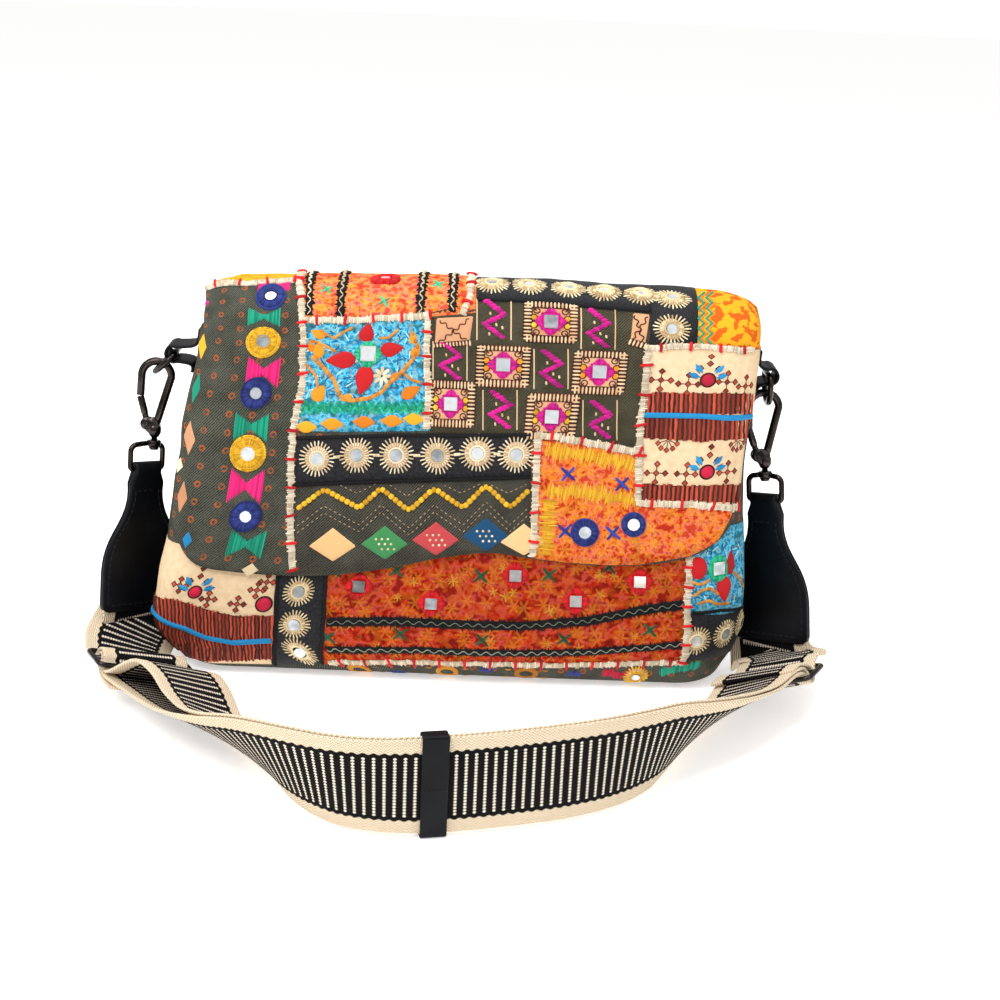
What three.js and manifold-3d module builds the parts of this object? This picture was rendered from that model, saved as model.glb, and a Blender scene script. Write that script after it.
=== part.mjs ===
// Embroidered flap-over crossbody bag, standing on its base with its webbing strap laid out in front.
// Millimetres, +Z up. The front faces -Y and the origin is the middle of the flat base.
import * as THREE from 'three';
import { mergeVertices } from 'three/addons/utils/BufferGeometryUtils.js';
import Module from 'manifold-3d';

const wasm = await Module();
wasm.setup();

// Driving dimensions.
const CLOTH = 2.4; // quilted patchwork wall
const FLAP_GAP = 0.6; // air between the flap and the body
const LEATHER = 1.8;
const WEB_WIDTH = 50;
const WEB_THICK = 1.8;
const WEB_PITCH = 2.6; // centre to centre of the two webbing layers
const WIRE = 3.4; // D ring and swivel loop wire diameter
const ROD = 4.6; // snap hook rod diameter
const FIT = 0.35; // clearance between pieces that touch

// Bag body: one row for each level section. left, right: reach from the middle; front, back: y of the panels;
// bend, turn: plan radius of the left and the right corners; belly: bulge of the front;
// dent, tuck: hollow of the left and the right gusset.
const BODY = [
  { z: 0, left: 152, right: 144, front: -38, back: 36, bend: 22, turn: 24, belly: 0, dent: 10, tuck: 8 },
  { z: 4, left: 160, right: 149, front: -46.5, back: 43, bend: 22, turn: 27, belly: 0.5, dent: 13, tuck: 10 },
  { z: 12, left: 167, right: 152.5, front: -52, back: 47.5, bend: 20, turn: 29, belly: 1.5, dent: 17, tuck: 12 },
  { z: 26, left: 177, right: 159.5, front: -55, back: 49.5, bend: 18, turn: 33, belly: 3, dent: 21, tuck: 13 },
  { z: 48, left: 176, right: 161.5, front: -55.5, back: 49.5, bend: 20, turn: 34, belly: 4, dent: 19, tuck: 13 },
  { z: 80, left: 171, right: 159.5, front: -53, back: 47, bend: 26, turn: 33, belly: 4.5, dent: 11, tuck: 12 },
  { z: 115, left: 167, right: 156.5, front: -48.5, back: 43.5, bend: 30, turn: 31, belly: 4.5, dent: 4, tuck: 11 },
  { z: 150, left: 162, right: 157, front: -43.5, back: 39, bend: 28, turn: 28, belly: 4, dent: 2, tuck: 10 },
  { z: 170, left: 157.5, right: 159.5, front: -40, back: 36, bend: 26, turn: 26, belly: 3.3, dent: 1.5, tuck: 3 },
  { z: 196, left: 152.5, right: 160.5, front: -36, back: 33.5, bend: 24, turn: 24, belly: 2, dent: 1, tuck: 1 },
];
const RIM = 196; // height of the open mouth
const SPRING = 198; // height where the flap leaves the panels and rolls over the mouth
const BODY_STEPS = { front: 6, corner: 4, side: 4, back: 4 }; // facets in each half of a section
const WALL_LEVELS = [0, 4, 12, 26, 48, 80, 115, 150, 170, RIM];

// Flap: how it lies on the body. Its lower edge has round corners and a shallow scallop off centre.
// rise: height of the roll over the mouth; sag: how much lower its ends are.
const FLAP = { seam: 172, left: 165, right: 154, rise: 27, sag: 4, cornerWide: 40, cornerHigh: 33 };
const LOWER_EDGE = [
  { across: -166, z: 68 },
  { across: -130, z: 66 },
  { across: -100, z: 64.5 },
  { across: -70, z: 66 },
  { across: -40, z: 72 },
  { across: -12, z: 79.5 },
  { across: 14, z: 83 },
  { across: 40, z: 80 },
  { across: 70, z: 77.5 },
  { across: 100, z: 78.5 },
  { across: 125, z: 83 },
  { across: 155, z: 88 },
];
const FLAP_STEPS = { corner: 6, middle: 16, back: 1, roll: 8, front: 9 };

// Hardware on each gusset. tabOut: the tab's fold out from the gusset; dip: slope of the D ring; eyeX, eyeZ: middle of
// the hook's bend; lean, pitch: how far the hanging strap end swings sideways and forward, in degrees;
// swivel: turn of the strap loop about the hook's axis; shift: play of the strap loop to one side;
// sway: how far the webbing swings out round the bag's corner on its way to the slider.
const SIDES = [
  { name: 'left', sign: -1, tabOut: 13.5, dip: 43.7, eyeX: -181, eyeZ: 162.2, lean: 1.8, pitch: -8.2, swivel: 42, shift: -4,
    sway: 4 },
  { name: 'right', sign: 1, tabOut: 8, dip: 86.3, eyeX: 167.4, eyeZ: 157.4, lean: -4.8, pitch: -8.2, swivel: -37, shift: 0,
    sway: 6 },
];
const TAB = { width: 19.4, loop: 4.6, level: 177.5, top: 192, foot: 167.5 };
const D_RING = { half: 11.9, straight: 4.6 };
const EYE = { radius: 8.5 }; // middle of the hook's rod round its bend
const HOOK = { seam: -11.5, pivotX: -4.2, pivotZ: -27.5, knuckle: -29, neck: -35, post: 1.7, head: 3.1 };
const LOOP = { top: -38.2, half: 10.6, bar: -54, wire: 3.2 };
const STRAP_END = { fit: 17, top: 22, bottom: 53.4, length: 83, thick: 4.6, fold: 4.3, pocket: 14 };

// Strap: middle line of the doubled webbing, from the left slider to the right one.
// tilt: 0 lies flat on the floor, 90 stands on edge; lift: clearance of the lower edge.
const STRAP = [
  { x: -167, y: -97, lift: 5.4, tilt: 17 },
  { x: -154, y: -119, lift: 4, tilt: 22 },
  { x: -138, y: -143, lift: 3, tilt: 28 },
  { x: -121, y: -167, lift: 2, tilt: 39 },
  { x: -103, y: -190, lift: 2.1, tilt: 54 },
  { x: -82, y: -214, lift: 2.1, tilt: 71 },
  { x: -57, y: -230, lift: 2.1, tilt: 81 },
  { x: -31, y: -234, lift: 2.1, tilt: 87 },
  { x: -5, y: -230, lift: 2.1, tilt: 90 },
  { x: 22, y: -222.5, lift: 2.1, tilt: 90 },
  { x: 51, y: -212.5, lift: 2.1, tilt: 90 },
  { x: 79, y: -198, lift: 2.1, tilt: 86 },
  { x: 103, y: -177, lift: 2.1, tilt: 75 },
  { x: 120, y: -155, lift: 2.2, tilt: 58 },
  { x: 134, y: -133, lift: 4.5, tilt: 44 },
  { x: 147.5, y: -112, lift: 8, tilt: 33 },
  { x: 161, y: -91, lift: 12.6, tilt: 24 },
];
const SLIDERS = {
  left: { x: -178.5, y: -76, z: 16.5, heading: -61, tilt: 16, flip: 1 },
  right: { x: 173, y: -70, z: 18.5, heading: -119, tilt: 23, flip: -1 },
};
const SLIDER = { half: 28, bar: 11, radius: 1.5 };
// Route of the running webbing over the slider's middle bar, and of the sewn end looped round that bar.
const RUNNING = [
  { t: -17, n: -4.6 },
  { t: -11, n: -3.4 },
  { t: -6.6, n: -0.3 },
  { t: -4.6, n: 3.3 },
  { t: 0, n: 5.3 },
  { t: 4.6, n: 3.3 },
  { t: 6.6, n: -0.3 },
  { t: 11, n: -3.4 },
];
const LOOPED = [
  { t: 11, n: -5.9 },
  { t: 6, n: -4.2 },
  { t: 3, n: -0.6 },
  { t: 2.1, n: 2.1 },
  { t: 0, n: 3 },
  { t: -2.1, n: 2.1 },
  { t: -3, n: 0 },
  { t: -2.2, n: -2.4 },
  { t: 1.2, n: -4.6 },
  { t: 6, n: -7 },
  { t: 11, n: -8.3 },
  { t: 23, n: -8.4 },
];
const ARCH = { height: 16, reach: 95 }; // the running layer lifts off the other past its slider
const KEEPER = { width: 13, along: 0.485 };

// Mirrors sewn to the flap. across: millimetres of cloth from the middle; down: from the front end of the roll.
const FLAP_MIRRORS = [
  { name: 'strip_1', shape: 'round', size: 6.6, across: -120, down: -27 },
  { name: 'strip_2', shape: 'round', size: 8, across: -122.5, down: 4.5 },
  { name: 'strip_3', shape: 'round', size: 6.6, across: -123, down: 33 },
  { name: 'strip_4', shape: 'round', size: 8, across: -124, down: 66 },
  { name: 'strip_5', shape: 'round', size: 6.6, across: -120, down: 101 },
  { name: 'dyed_1', shape: 'square', size: 6, across: -54, down: -44 },
  { name: 'rose_1', shape: 'square', size: 8.6, across: -61, down: 9 },
  { name: 'block_1', shape: 'square', size: 7.6, across: -12, down: 34 },
  { name: 'block_2', shape: 'square', size: 7.6, across: 15, down: 12 },
  { name: 'block_3', shape: 'square', size: 7.6, across: 38, down: -16 },
  { name: 'block_4', shape: 'square', size: 7.6, across: 64, down: 14 },
  { name: 'block_5', shape: 'square', size: 7.6, across: 42, down: 39 },
  { name: 'top_1', shape: 'round', size: 6, across: 8, down: -43 },
  { name: 'top_2', shape: 'round', size: 6, across: 27, down: -43 },
  { name: 'top_3', shape: 'round', size: 6, across: 47, down: -42 },
  { name: 'top_4', shape: 'round', size: 6, across: 65, down: -41 },
  { name: 'top_5', shape: 'round', size: 6, across: 84, down: -40 },
  { name: 'side_1', shape: 'round', size: 6, across: 100, down: -38 },
  { name: 'side_2', shape: 'round', size: 6, across: 99, down: -15 },
  { name: 'sun_1', shape: 'round', size: 7, across: -85, down: 67 },
  { name: 'sun_2', shape: 'round', size: 7, across: -63, down: 64 },
  { name: 'sun_3', shape: 'round', size: 7, across: -41, down: 63 },
  { name: 'sun_4', shape: 'round', size: 7, across: -18, down: 62 },
  { name: 'sun_5', shape: 'round', size: 7, across: 4, down: 60 },
  { name: 'sun_6', shape: 'round', size: 7, across: 25, down: 60 },
  { name: 'ring_1', shape: 'round', size: 7, across: 65, down: 102 },
  { name: 'ring_2', shape: 'round', size: 7, across: 92, down: 97 },
];
// Mirrors sewn to the front panel, at a place round the section and a height.
const FRONT_MIRRORS = [
  { name: 'front_sun_1', shape: 'round', size: 7, place: -0.605, z: 55 },
  { name: 'front_sun_2', shape: 'round', size: 7, place: -0.6, z: 35 },
  { name: 'front_sun_3', shape: 'round', size: 7, place: -0.605, z: 17.5 },
  { name: 'front_red_1', shape: 'square', size: 7, place: -0.39, z: 60 },
  { name: 'front_red_2', shape: 'square', size: 7, place: -0.12, z: 52 },
  { name: 'front_red_3', shape: 'square', size: 7, place: 0.22, z: 70 },
  { name: 'front_red_4', shape: 'square', size: 7, place: 0.49, z: 56 },
  { name: 'front_red_5', shape: 'square', size: 7, place: 0.77, z: 68 },
  { name: 'front_leaf_1', shape: 'square', size: 7.4, place: 1.3, z: 76 },
  { name: 'front_gold_1', shape: 'round', size: 6.4, place: 1.09, z: 34 },
  { name: 'front_gold_2', shape: 'round', size: 6.4, place: 1.44, z: 36 },
  { name: 'front_gold_3', shape: 'round', size: 6.4, place: 1.78, z: 38 },
  { name: 'front_under_1', shape: 'round', size: 5, place: 0.81, z: 9 },
];
const MIRROR = { thick: 0.9, clear: 0.5, sides: 10 };
const ROLL_LENGTH = 105; // cloth from the back to the front end of the roll

const vec = (x, y, z) => new THREE.Vector3(x, y, z);
const rad = THREE.MathUtils.degToRad;

// Finishes.
const finish = (color, roughness, metalness = 0) => new THREE.MeshStandardMaterial({ color, roughness, metalness });
const CLOTH_FINISH = finish(0x4a4a40, 0.9);
const FLAP_FINISH = finish(0xc9642f, 0.9);
const LEATHER_FINISH = finish(0x15151a, 0.5);
const METAL_FINISH = finish(0x2b2725, 0.3, 1);
const WEB_FINISH = finish(0xd9c6a6, 0.9);
const MIRROR_FINISH = finish(0xc8ccd0, 0.08, 1);

// A closed geometry from points and triangles, with its faces turned outwards.
function closedGeometry(points, faces) {
  let volume = 0;
  for (let i = 0; i < faces.length; i += 3) {
    const [a, b, c] = [points[faces[i]], points[faces[i + 1]], points[faces[i + 2]]];
    volume += a.dot(vec().crossVectors(b, c));
  }
  const turned = volume < 0 ? faces.slice().reverse() : faces;
  const geometry = new THREE.BufferGeometry().setFromPoints(points);
  geometry.setIndex(turned);
  geometry.computeVertexNormals();
  return geometry;
}

// A solid through closed rings of points: capped at both ends, or joined end to start.
function loft(rings, joined = false) {
  const n = rings[0].length;
  const points = rings.flat();
  const faces = [];
  for (let i = 0; i < rings.length - (joined ? 0 : 1); i++) {
    const next = (i + 1) % rings.length;
    for (let j = 0; j < n; j++) {
      const k = (j + 1) % n;
      const [a, b, c, d] = [i * n + j, next * n + j, next * n + k, i * n + k];
      faces.push(...(2 * j < n ? [a, b, c, a, c, d] : [a, b, d, b, c, d]));
    }
  }
  if (joined) return closedGeometry(points, faces);
  [rings[0], rings[rings.length - 1]].forEach((ring, end) => {
    const first = end ? (rings.length - 1) * n : 0;
    points.push(ring.reduce((sum, p) => sum.add(p), vec()).divideScalar(n));
    for (let j = 0; j < n; j++) {
      const edge = [first + j, first + ((j + 1) % n)];
      faces.push(points.length - 1, ...(end ? edge.reverse() : edge));
    }
  });
  return closedGeometry(points, faces);
}

// A wall between two grids of points with the same rows and columns.
function wall(outer, inner) {
  const rows = outer.length;
  const columns = outer[0].length;
  const points = [...outer.flat(), ...inner.flat()];
  const at = (side, i, j) => side * rows * columns + i * columns + j;
  const faces = [];
  const quad = (a, b, c, d) => faces.push(a, b, c, a, c, d);
  for (let i = 0; i + 1 < rows; i++) {
    for (let j = 0; j + 1 < columns; j++) {
      quad(at(0, i, j), at(0, i, j + 1), at(0, i + 1, j + 1), at(0, i + 1, j));
      quad(at(1, i, j), at(1, i + 1, j), at(1, i + 1, j + 1), at(1, i, j + 1));
    }
    quad(at(0, i, 0), at(0, i + 1, 0), at(1, i + 1, 0), at(1, i, 0));
    const j = columns - 1;
    quad(at(0, i, j), at(1, i, j), at(1, i + 1, j), at(0, i + 1, j));
  }
  for (let j = 0; j + 1 < columns; j++) {
    quad(at(0, 0, j), at(1, 0, j), at(1, 0, j + 1), at(0, 0, j + 1));
    const i = rows - 1;
    quad(at(0, i, j), at(0, i, j + 1), at(1, i, j + 1), at(1, i, j));
  }
  return closedGeometry(points, faces);
}

// A round rod along a flat path, whose plane has the given normal.
function rod(corners, normal, radius, sides, joined = false) {
  const path = corners.filter((p, i) => i === 0 || p.distanceTo(corners[i - 1]) > 0.05);
  if (joined && path[0].distanceTo(path[path.length - 1]) < 0.05) path.pop();
  const rings = path.map((p, i) => {
    const before = path[joined ? (i + path.length - 1) % path.length : Math.max(i - 1, 0)];
    const after = path[joined ? (i + 1) % path.length : Math.min(i + 1, path.length - 1)];
    const across = vec().subVectors(after, before).normalize().cross(normal);
    return Array.from({ length: sides }, (_, k) => {
      const turn = (2 * Math.PI * k) / sides;
      const reach = across.clone().multiplyScalar(Math.cos(turn)).addScaledVector(normal, Math.sin(turn));
      return p.clone().addScaledVector(reach, radius);
    });
  });
  return loft(rings, joined);
}

// A band of rectangular section: stations give the middle point, the width direction and the width.
function band(stations, thick) {
  const rings = stations.map(({ at, wide, width }, i) => {
    const before = stations[Math.max(i - 1, 0)].at;
    const after = stations[Math.min(i + 1, stations.length - 1)].at;
    const along = vec().subVectors(after, before).normalize();
    const w = wide.clone().addScaledVector(along, -wide.dot(along)).normalize().multiplyScalar(width / 2);
    const n = vec().crossVectors(along, w).normalize().multiplyScalar(thick / 2);
    return [[1, 1], [1, -1], [-1, -1], [-1, 1]].map(([p, q]) => at.clone().addScaledVector(w, p).addScaledVector(n, q));
  });
  return loft(rings);
}

// Booleans.
function solid(geometry) {
  const bare = geometry.clone();
  bare.deleteAttribute('normal');
  bare.deleteAttribute('uv');
  const merged = mergeVertices(bare, 1e-4);
  const vertProperties = new Float32Array(merged.attributes.position.array);
  const triVerts = new Uint32Array(merged.index.array);
  return new wasm.Manifold(new wasm.Mesh({ numProp: 3, vertProperties, triVerts }));
}

function geometryOf(manifold) {
  const { vertProperties, triVerts } = manifold.getMesh();
  const geometry = new THREE.BufferGeometry();
  geometry.setAttribute('position', new THREE.BufferAttribute(new Float32Array(vertProperties), 3));
  geometry.setIndex(new THREE.BufferAttribute(new Uint32Array(triVerts), 1));
  geometry.computeVertexNormals();
  return geometry;
}

function named(name, geometry, material, parent) {
  const mesh = new THREE.Mesh(geometry, material);
  mesh.name = name;
  parent.add(mesh);
  return mesh;
}

// A table's row at any key value between its rows, each column on a smooth curve.
function rowAt(table, key, value) {
  const last = table.length - 2;
  let i = table.findIndex((row, k) => k <= last && value <= table[k + 1][key]);
  if (i < 0) i = last;
  const [a, b] = [table[i], table[i + 1]];
  const span = b[key] - a[key];
  const t = THREE.MathUtils.clamp((value - a[key]) / span, 0, 1);
  const slope = (k, column) => {
    const [p, q] = [table[Math.max(k - 1, 0)], table[Math.min(k + 1, last + 1)]];
    return (q[column] - p[column]) / (q[key] - p[key]);
  };
  const result = {};
  for (const column of Object.keys(a)) {
    const [m0, m1] = [slope(i, column) * span, slope(i + 1, column) * span];
    result[column] = (2 * t ** 3 - 3 * t ** 2 + 1) * a[column] + (t ** 3 - 2 * t ** 2 + t) * m0
      + (3 * t ** 2 - 2 * t ** 3) * b[column] + (t ** 3 - t ** 2) * m1;
  }
  return result;
}

// Bag body. A place round a section is a number: 0 front middle, 1 to 2 the front corner, 2 to 3 the gusset,
// 3 to 4 the back corner and 5 the back middle, negative on the left.
function bodyPoint(z, place) {
  const { left, right, front, back, bend, turn: rightTurn, belly, dent, tuck } = rowAt(BODY, 'z', z);
  const sign = place < 0 ? -1 : 1;
  const [reach, corner, hollow] = sign < 0 ? [left, bend, dent] : [right, rightTurn, tuck];
  const stretch = Math.min(Math.floor(Math.abs(place)), 4);
  const t = Math.abs(place) - stretch;
  const turn = (t * Math.PI) / 2;
  const inner = reach - corner;
  if (stretch === 0) return vec(sign * t * inner, front - belly * Math.cos(turn) ** 2, z);
  if (stretch === 1) return vec(sign * (inner + corner * Math.sin(turn)), front + corner * (1 - Math.cos(turn)), z);
  if (stretch === 2) {
    const y = THREE.MathUtils.lerp(front + corner, back - corner, t);
    return vec(sign * (reach - hollow * Math.sin(Math.PI * t) ** 2), y, z);
  }
  if (stretch === 3) return vec(sign * (inner + corner * Math.cos(turn)), back - corner * (1 - Math.sin(turn)), z);
  return vec(sign * inner * (1 - t), back, z);
}

function bodyNormal(z, place) {
  const [dz, dp] = [0.5, 0.02];
  const [low, high] = [Math.max(z - dz, 0), Math.min(z + dz, RIM)];
  const up = bodyPoint(high, place).sub(bodyPoint(low, place));
  const round = bodyPoint(z, Math.min(place + dp, 5)).sub(bodyPoint(z, Math.max(place - dp, -5)));
  return round.cross(up).normalize();
}

const offBody = (z, place, distance) => bodyPoint(z, place).addScaledVector(bodyNormal(z, place), distance);

function sectionPlaces() {
  const { front, corner, side, back } = BODY_STEPS;
  const half = [];
  [front, corner, side, corner, back].forEach((steps, stretch) => {
    for (let k = 0; k < steps; k++) half.push(stretch + k / steps);
  });
  return [...half, 5, ...half.slice(1).reverse().map((p) => -p)];
}

function bagBody() {
  const places = sectionPlaces();
  const outside = WALL_LEVELS.map((z) => places.map((p) => bodyPoint(z, p)));
  const inside = WALL_LEVELS.slice(1).map((z) => places.map((p) => {
    const point = offBody(z, p, -CLOTH);
    point.z = z === RIM ? RIM : Math.max(point.z, CLOTH + 0.6);
    return point;
  }));
  const floor = places.map((p) => bodyPoint(0, p).setZ(CLOTH));
  return loft([floor, ...inside, ...outside.reverse()]);
}

// Flap. across: millimetres of cloth from the middle; stage: 0 to 1 down the back, 1 to 2 the roll, 2 to 3 the front.
function flapPlace(across) {
  const { left, right, bend, turn } = rowAt(BODY, 'z', 115);
  const corner = across < 0 ? bend : turn;
  const straight = (across < 0 ? left : right) - corner;
  const past = Math.abs(across) - straight;
  return Math.sign(across) * (past < 0 ? Math.abs(across) / straight : 1 + past / (corner * Math.PI / 2));
}

function flapEdge(across) {
  const past = Math.abs(across) - (across < 0 ? FLAP.left : FLAP.right) + FLAP.cornerWide;
  const round = past > 0 ? 1 - Math.sqrt(Math.max(1 - (past / FLAP.cornerWide) ** 2, 0)) : 0;
  return rowAt(LOWER_EDGE, 'across', across).z + FLAP.cornerHigh * round;
}

function flapPoint(across, stage, distance) {
  const place = flapPlace(across);
  const behind = Math.sign(place || 1) * (5 - Math.abs(place));
  if (stage <= 1) return offBody(Math.min(THREE.MathUtils.lerp(FLAP.seam, SPRING, stage), RIM), behind, distance);
  if (stage >= 2) return offBody(Math.min(THREE.MathUtils.lerp(SPRING, flapEdge(across), stage - 2), RIM), place, distance);
  const [back, front] = [offBody(RIM, behind, distance), offBody(RIM, place, distance)];
  const turn = (stage - 1) * Math.PI;
  const middle = back.clone().lerp(front, (1 - Math.cos(turn)) / 2);
  const deepest = offBody(RIM, 5, distance).y - offBody(RIM, 0, distance).y;
  const narrow = (back.y - front.y) / deepest;
  const rise = (FLAP.rise - FLAP.sag * (across / FLAP.left) ** 2) * narrow + distance;
  return middle.setZ(RIM + rise * Math.sin(turn));
}

function flapColumns() {
  const { corner, middle } = FLAP_STEPS;
  const bend = (k) => FLAP.cornerWide * (1 - Math.sin((k / corner) * Math.PI / 2));
  const columns = [];
  for (let k = corner; k > 0; k--) columns.push(-FLAP.left + bend(k));
  const [from, to] = [-FLAP.left + FLAP.cornerWide, FLAP.right - FLAP.cornerWide];
  for (let k = 0; k <= middle; k++) columns.push(THREE.MathUtils.lerp(from, to, k / middle));
  for (let k = 1; k <= corner; k++) columns.push(FLAP.right - bend(k));
  return columns;
}

function flap() {
  const { back, roll, front } = FLAP_STEPS;
  const stages = [];
  for (let k = 0; k < back; k++) stages.push(k / back);
  for (let k = 0; k < roll; k++) stages.push(1 + k / roll);
  for (let k = 0; k <= front; k++) stages.push(2 + k / front);
  const grid = (distance) => stages.map((stage) => flapColumns().map((u) => flapPoint(u, stage, distance)));
  return wall(grid(FLAP_GAP + CLOTH), grid(FLAP_GAP));
}

// Leather tab: a strip down the gusset, out round the D ring's bar, and back down the gusset.
function tabFold(side) {
  return vec(side.sign * (rowAt(BODY, 'z', TAB.level)[side.name] + side.tabOut), -1, TAB.level);
}

function tab(side) {
  const fold = tabFold(side);
  const skin = (z, out) => vec(side.sign * (rowAt(BODY, 'z', z)[side.name] + FIT + LEATHER / 2 + out), fold.y, z);
  const round = [112, 80, 45, 10, -25, -60, -90, -112].map((degrees) => vec(
    fold.x + side.sign * TAB.loop * Math.cos(rad(degrees)), fold.y, fold.z + TAB.loop * Math.sin(rad(degrees))));
  const path = [skin(TAB.top, 0), skin(TAB.level + 8, 0), skin(TAB.level + 5.6, 1.2), ...round,
    skin(TAB.level - 5.8, 1.2), skin(TAB.level - 8, 0), skin(TAB.foot, 0)];
  return band(path.map((at) => ({ at, wide: vec(0, 1, 0), width: TAB.width })), LEATHER);
}

// D ring: its bar lies in the tab's fold and its bow hangs out.
function ringBar(side) {
  return tabFold(side).add(vec(0, 0, -0.6));
}

function dRing(side) {
  const dip = rad(side.dip);
  const out = vec(side.sign * Math.cos(dip), 0, -Math.sin(dip));
  const outline = new THREE.Path();
  const { half, straight } = D_RING;
  outline.moveTo(0, 1).lineTo(0, half - 1.9).lineTo(0.9, half - 0.6).lineTo(straight, half);
  outline.absarc(straight, 0, half, Math.PI / 2, -Math.PI / 2, true);
  outline.lineTo(0.9, -half + 0.6).lineTo(0, -half + 1.9);
  const start = ringBar(side);
  const path = outline.getPoints(5).map((p) => start.clone().addScaledVector(out, p.x).add(vec(0, p.y, 0)));
  const normal = out.clone().cross(vec(0, 1, 0));
  return rod(path, normal, WIRE / 2, 8, true);
}

// Snap hook, in its own frame: the bend's centre at the origin, the swivel axis down local Z, the rod in local XZ.
const flat = (points) => points.map((p) => vec(p.x, 0, p.y));
const ALONG_Y = vec(0, 1, 0);

// A disc with its axis along Y.
function disc(x, z, radius, thick, sides = 12) {
  const geometry = new THREE.CylinderGeometry(radius, radius, thick, sides);
  return solid(geometry.translate(x, 0, z));
}

function snapHook() {
  const { radius } = EYE;
  const outline = new THREE.Path();
  outline.moveTo(0.5, HOOK.knuckle).lineTo(radius, 0).absarc(0, 0, radius, 0, Math.PI);
  outline.lineTo(-radius - 0.3, HOOK.seam);
  const frame = solid(rod(flat(outline.getPoints(5)), ALONG_Y, ROD / 2, 8));
  const profile = [[0, HOOK.knuckle + 3], [3.8, HOOK.knuckle], [3.8, HOOK.knuckle - 4], [2.6, HOOK.neck],
    [HOOK.post, HOOK.neck - 0.1], [HOOK.post, LOOP.top - 2.6],
    [HOOK.head, LOOP.top - 2.7], [2.4, LOOP.top - 4.4], [0, LOOP.top - 4.4]];
  const spin = new THREE.LatheGeometry(profile.map(([r, z]) => new THREE.Vector2(r, z)).reverse(), 10).rotateX(Math.PI / 2);
  const ears = disc(HOOK.pivotX, HOOK.pivotZ, 3.7, 6.4).add(disc(-1.4, HOOK.pivotZ - 1, 4.4, 6.4));
  const slot = solid(new THREE.BoxGeometry(11, 3.4, 12).translate(HOOK.pivotX - 2.6, 0, HOOK.pivotZ + 0.9));
  const pin = disc(HOOK.pivotX, HOOK.pivotZ, 1, 7.2, 10);
  return geometryOf(frame.add(solid(spin)).add(ears).subtract(slot).add(pin));
}

function hookGate() {
  const tip = vec(-EYE.radius - 0.3, 0, HOOK.seam - 0.9);
  const pivot = vec(HOOK.pivotX, 0, HOOK.pivotZ);
  const foot = pivot.clone().lerp(tip, 0.34);
  const lever = solid(rod([tip, tip.clone().lerp(foot, 0.5), foot], ALONG_Y, ROD / 2 - 0.2, 8));
  const tongue = disc(pivot.x, pivot.z, 2.6, 2.6).add(
    solid(new THREE.BoxGeometry(3.4, 2.6, 7).rotateY(-0.19).translate(pivot.x - 0.6, 0, pivot.z + 3.6)));
  return geometryOf(lever.add(tongue).subtract(disc(pivot.x, pivot.z, 1.35, 8)));
}

// Where the hook's post passes through the strap loop, in the loop's own frame.
function hookAxis(side) {
  return vec(-side.shift, 0, 0).applyAxisAngle(vec(0, 0, 1), -rad(side.swivel));
}

// Strap loop: a rounded wire frame with a collar that the hook's post turns in.
function swivelLoop(side) {
  const { half, bar, top } = LOOP;
  const post = hookAxis(side);
  const outline = new THREE.Path();
  outline.moveTo(-3, top - 1).lineTo(-half + 4, top - 1.6).absarc(-half + 4, top - 5.6, 4, Math.PI / 2, Math.PI);
  outline.absarc(-half + 2, bar + 2, 2, Math.PI, 1.5 * Math.PI).absarc(half - 2, bar + 2, 2, -Math.PI / 2, 0);
  outline.absarc(half - 4, top - 5.6, 4, 0, Math.PI / 2).lineTo(3, top - 1);
  const frame = solid(rod(flat(outline.getPoints(2)), ALONG_Y, LOOP.wire / 2, 8));
  const upright = (radius, height, z) => solid(
    new THREE.CylinderGeometry(radius, radius, height, 12).rotateX(Math.PI / 2).translate(post.x, post.y, z));
  const collar = upright(4, 3.4, top - 0.6);
  const bore = upright(HOOK.post + FIT, 9, top);
  const below = upright(HOOK.head + FIT, 3, top - 3.8);
  return geometryOf(frame.add(collar).subtract(bore).subtract(below));
}

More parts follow.
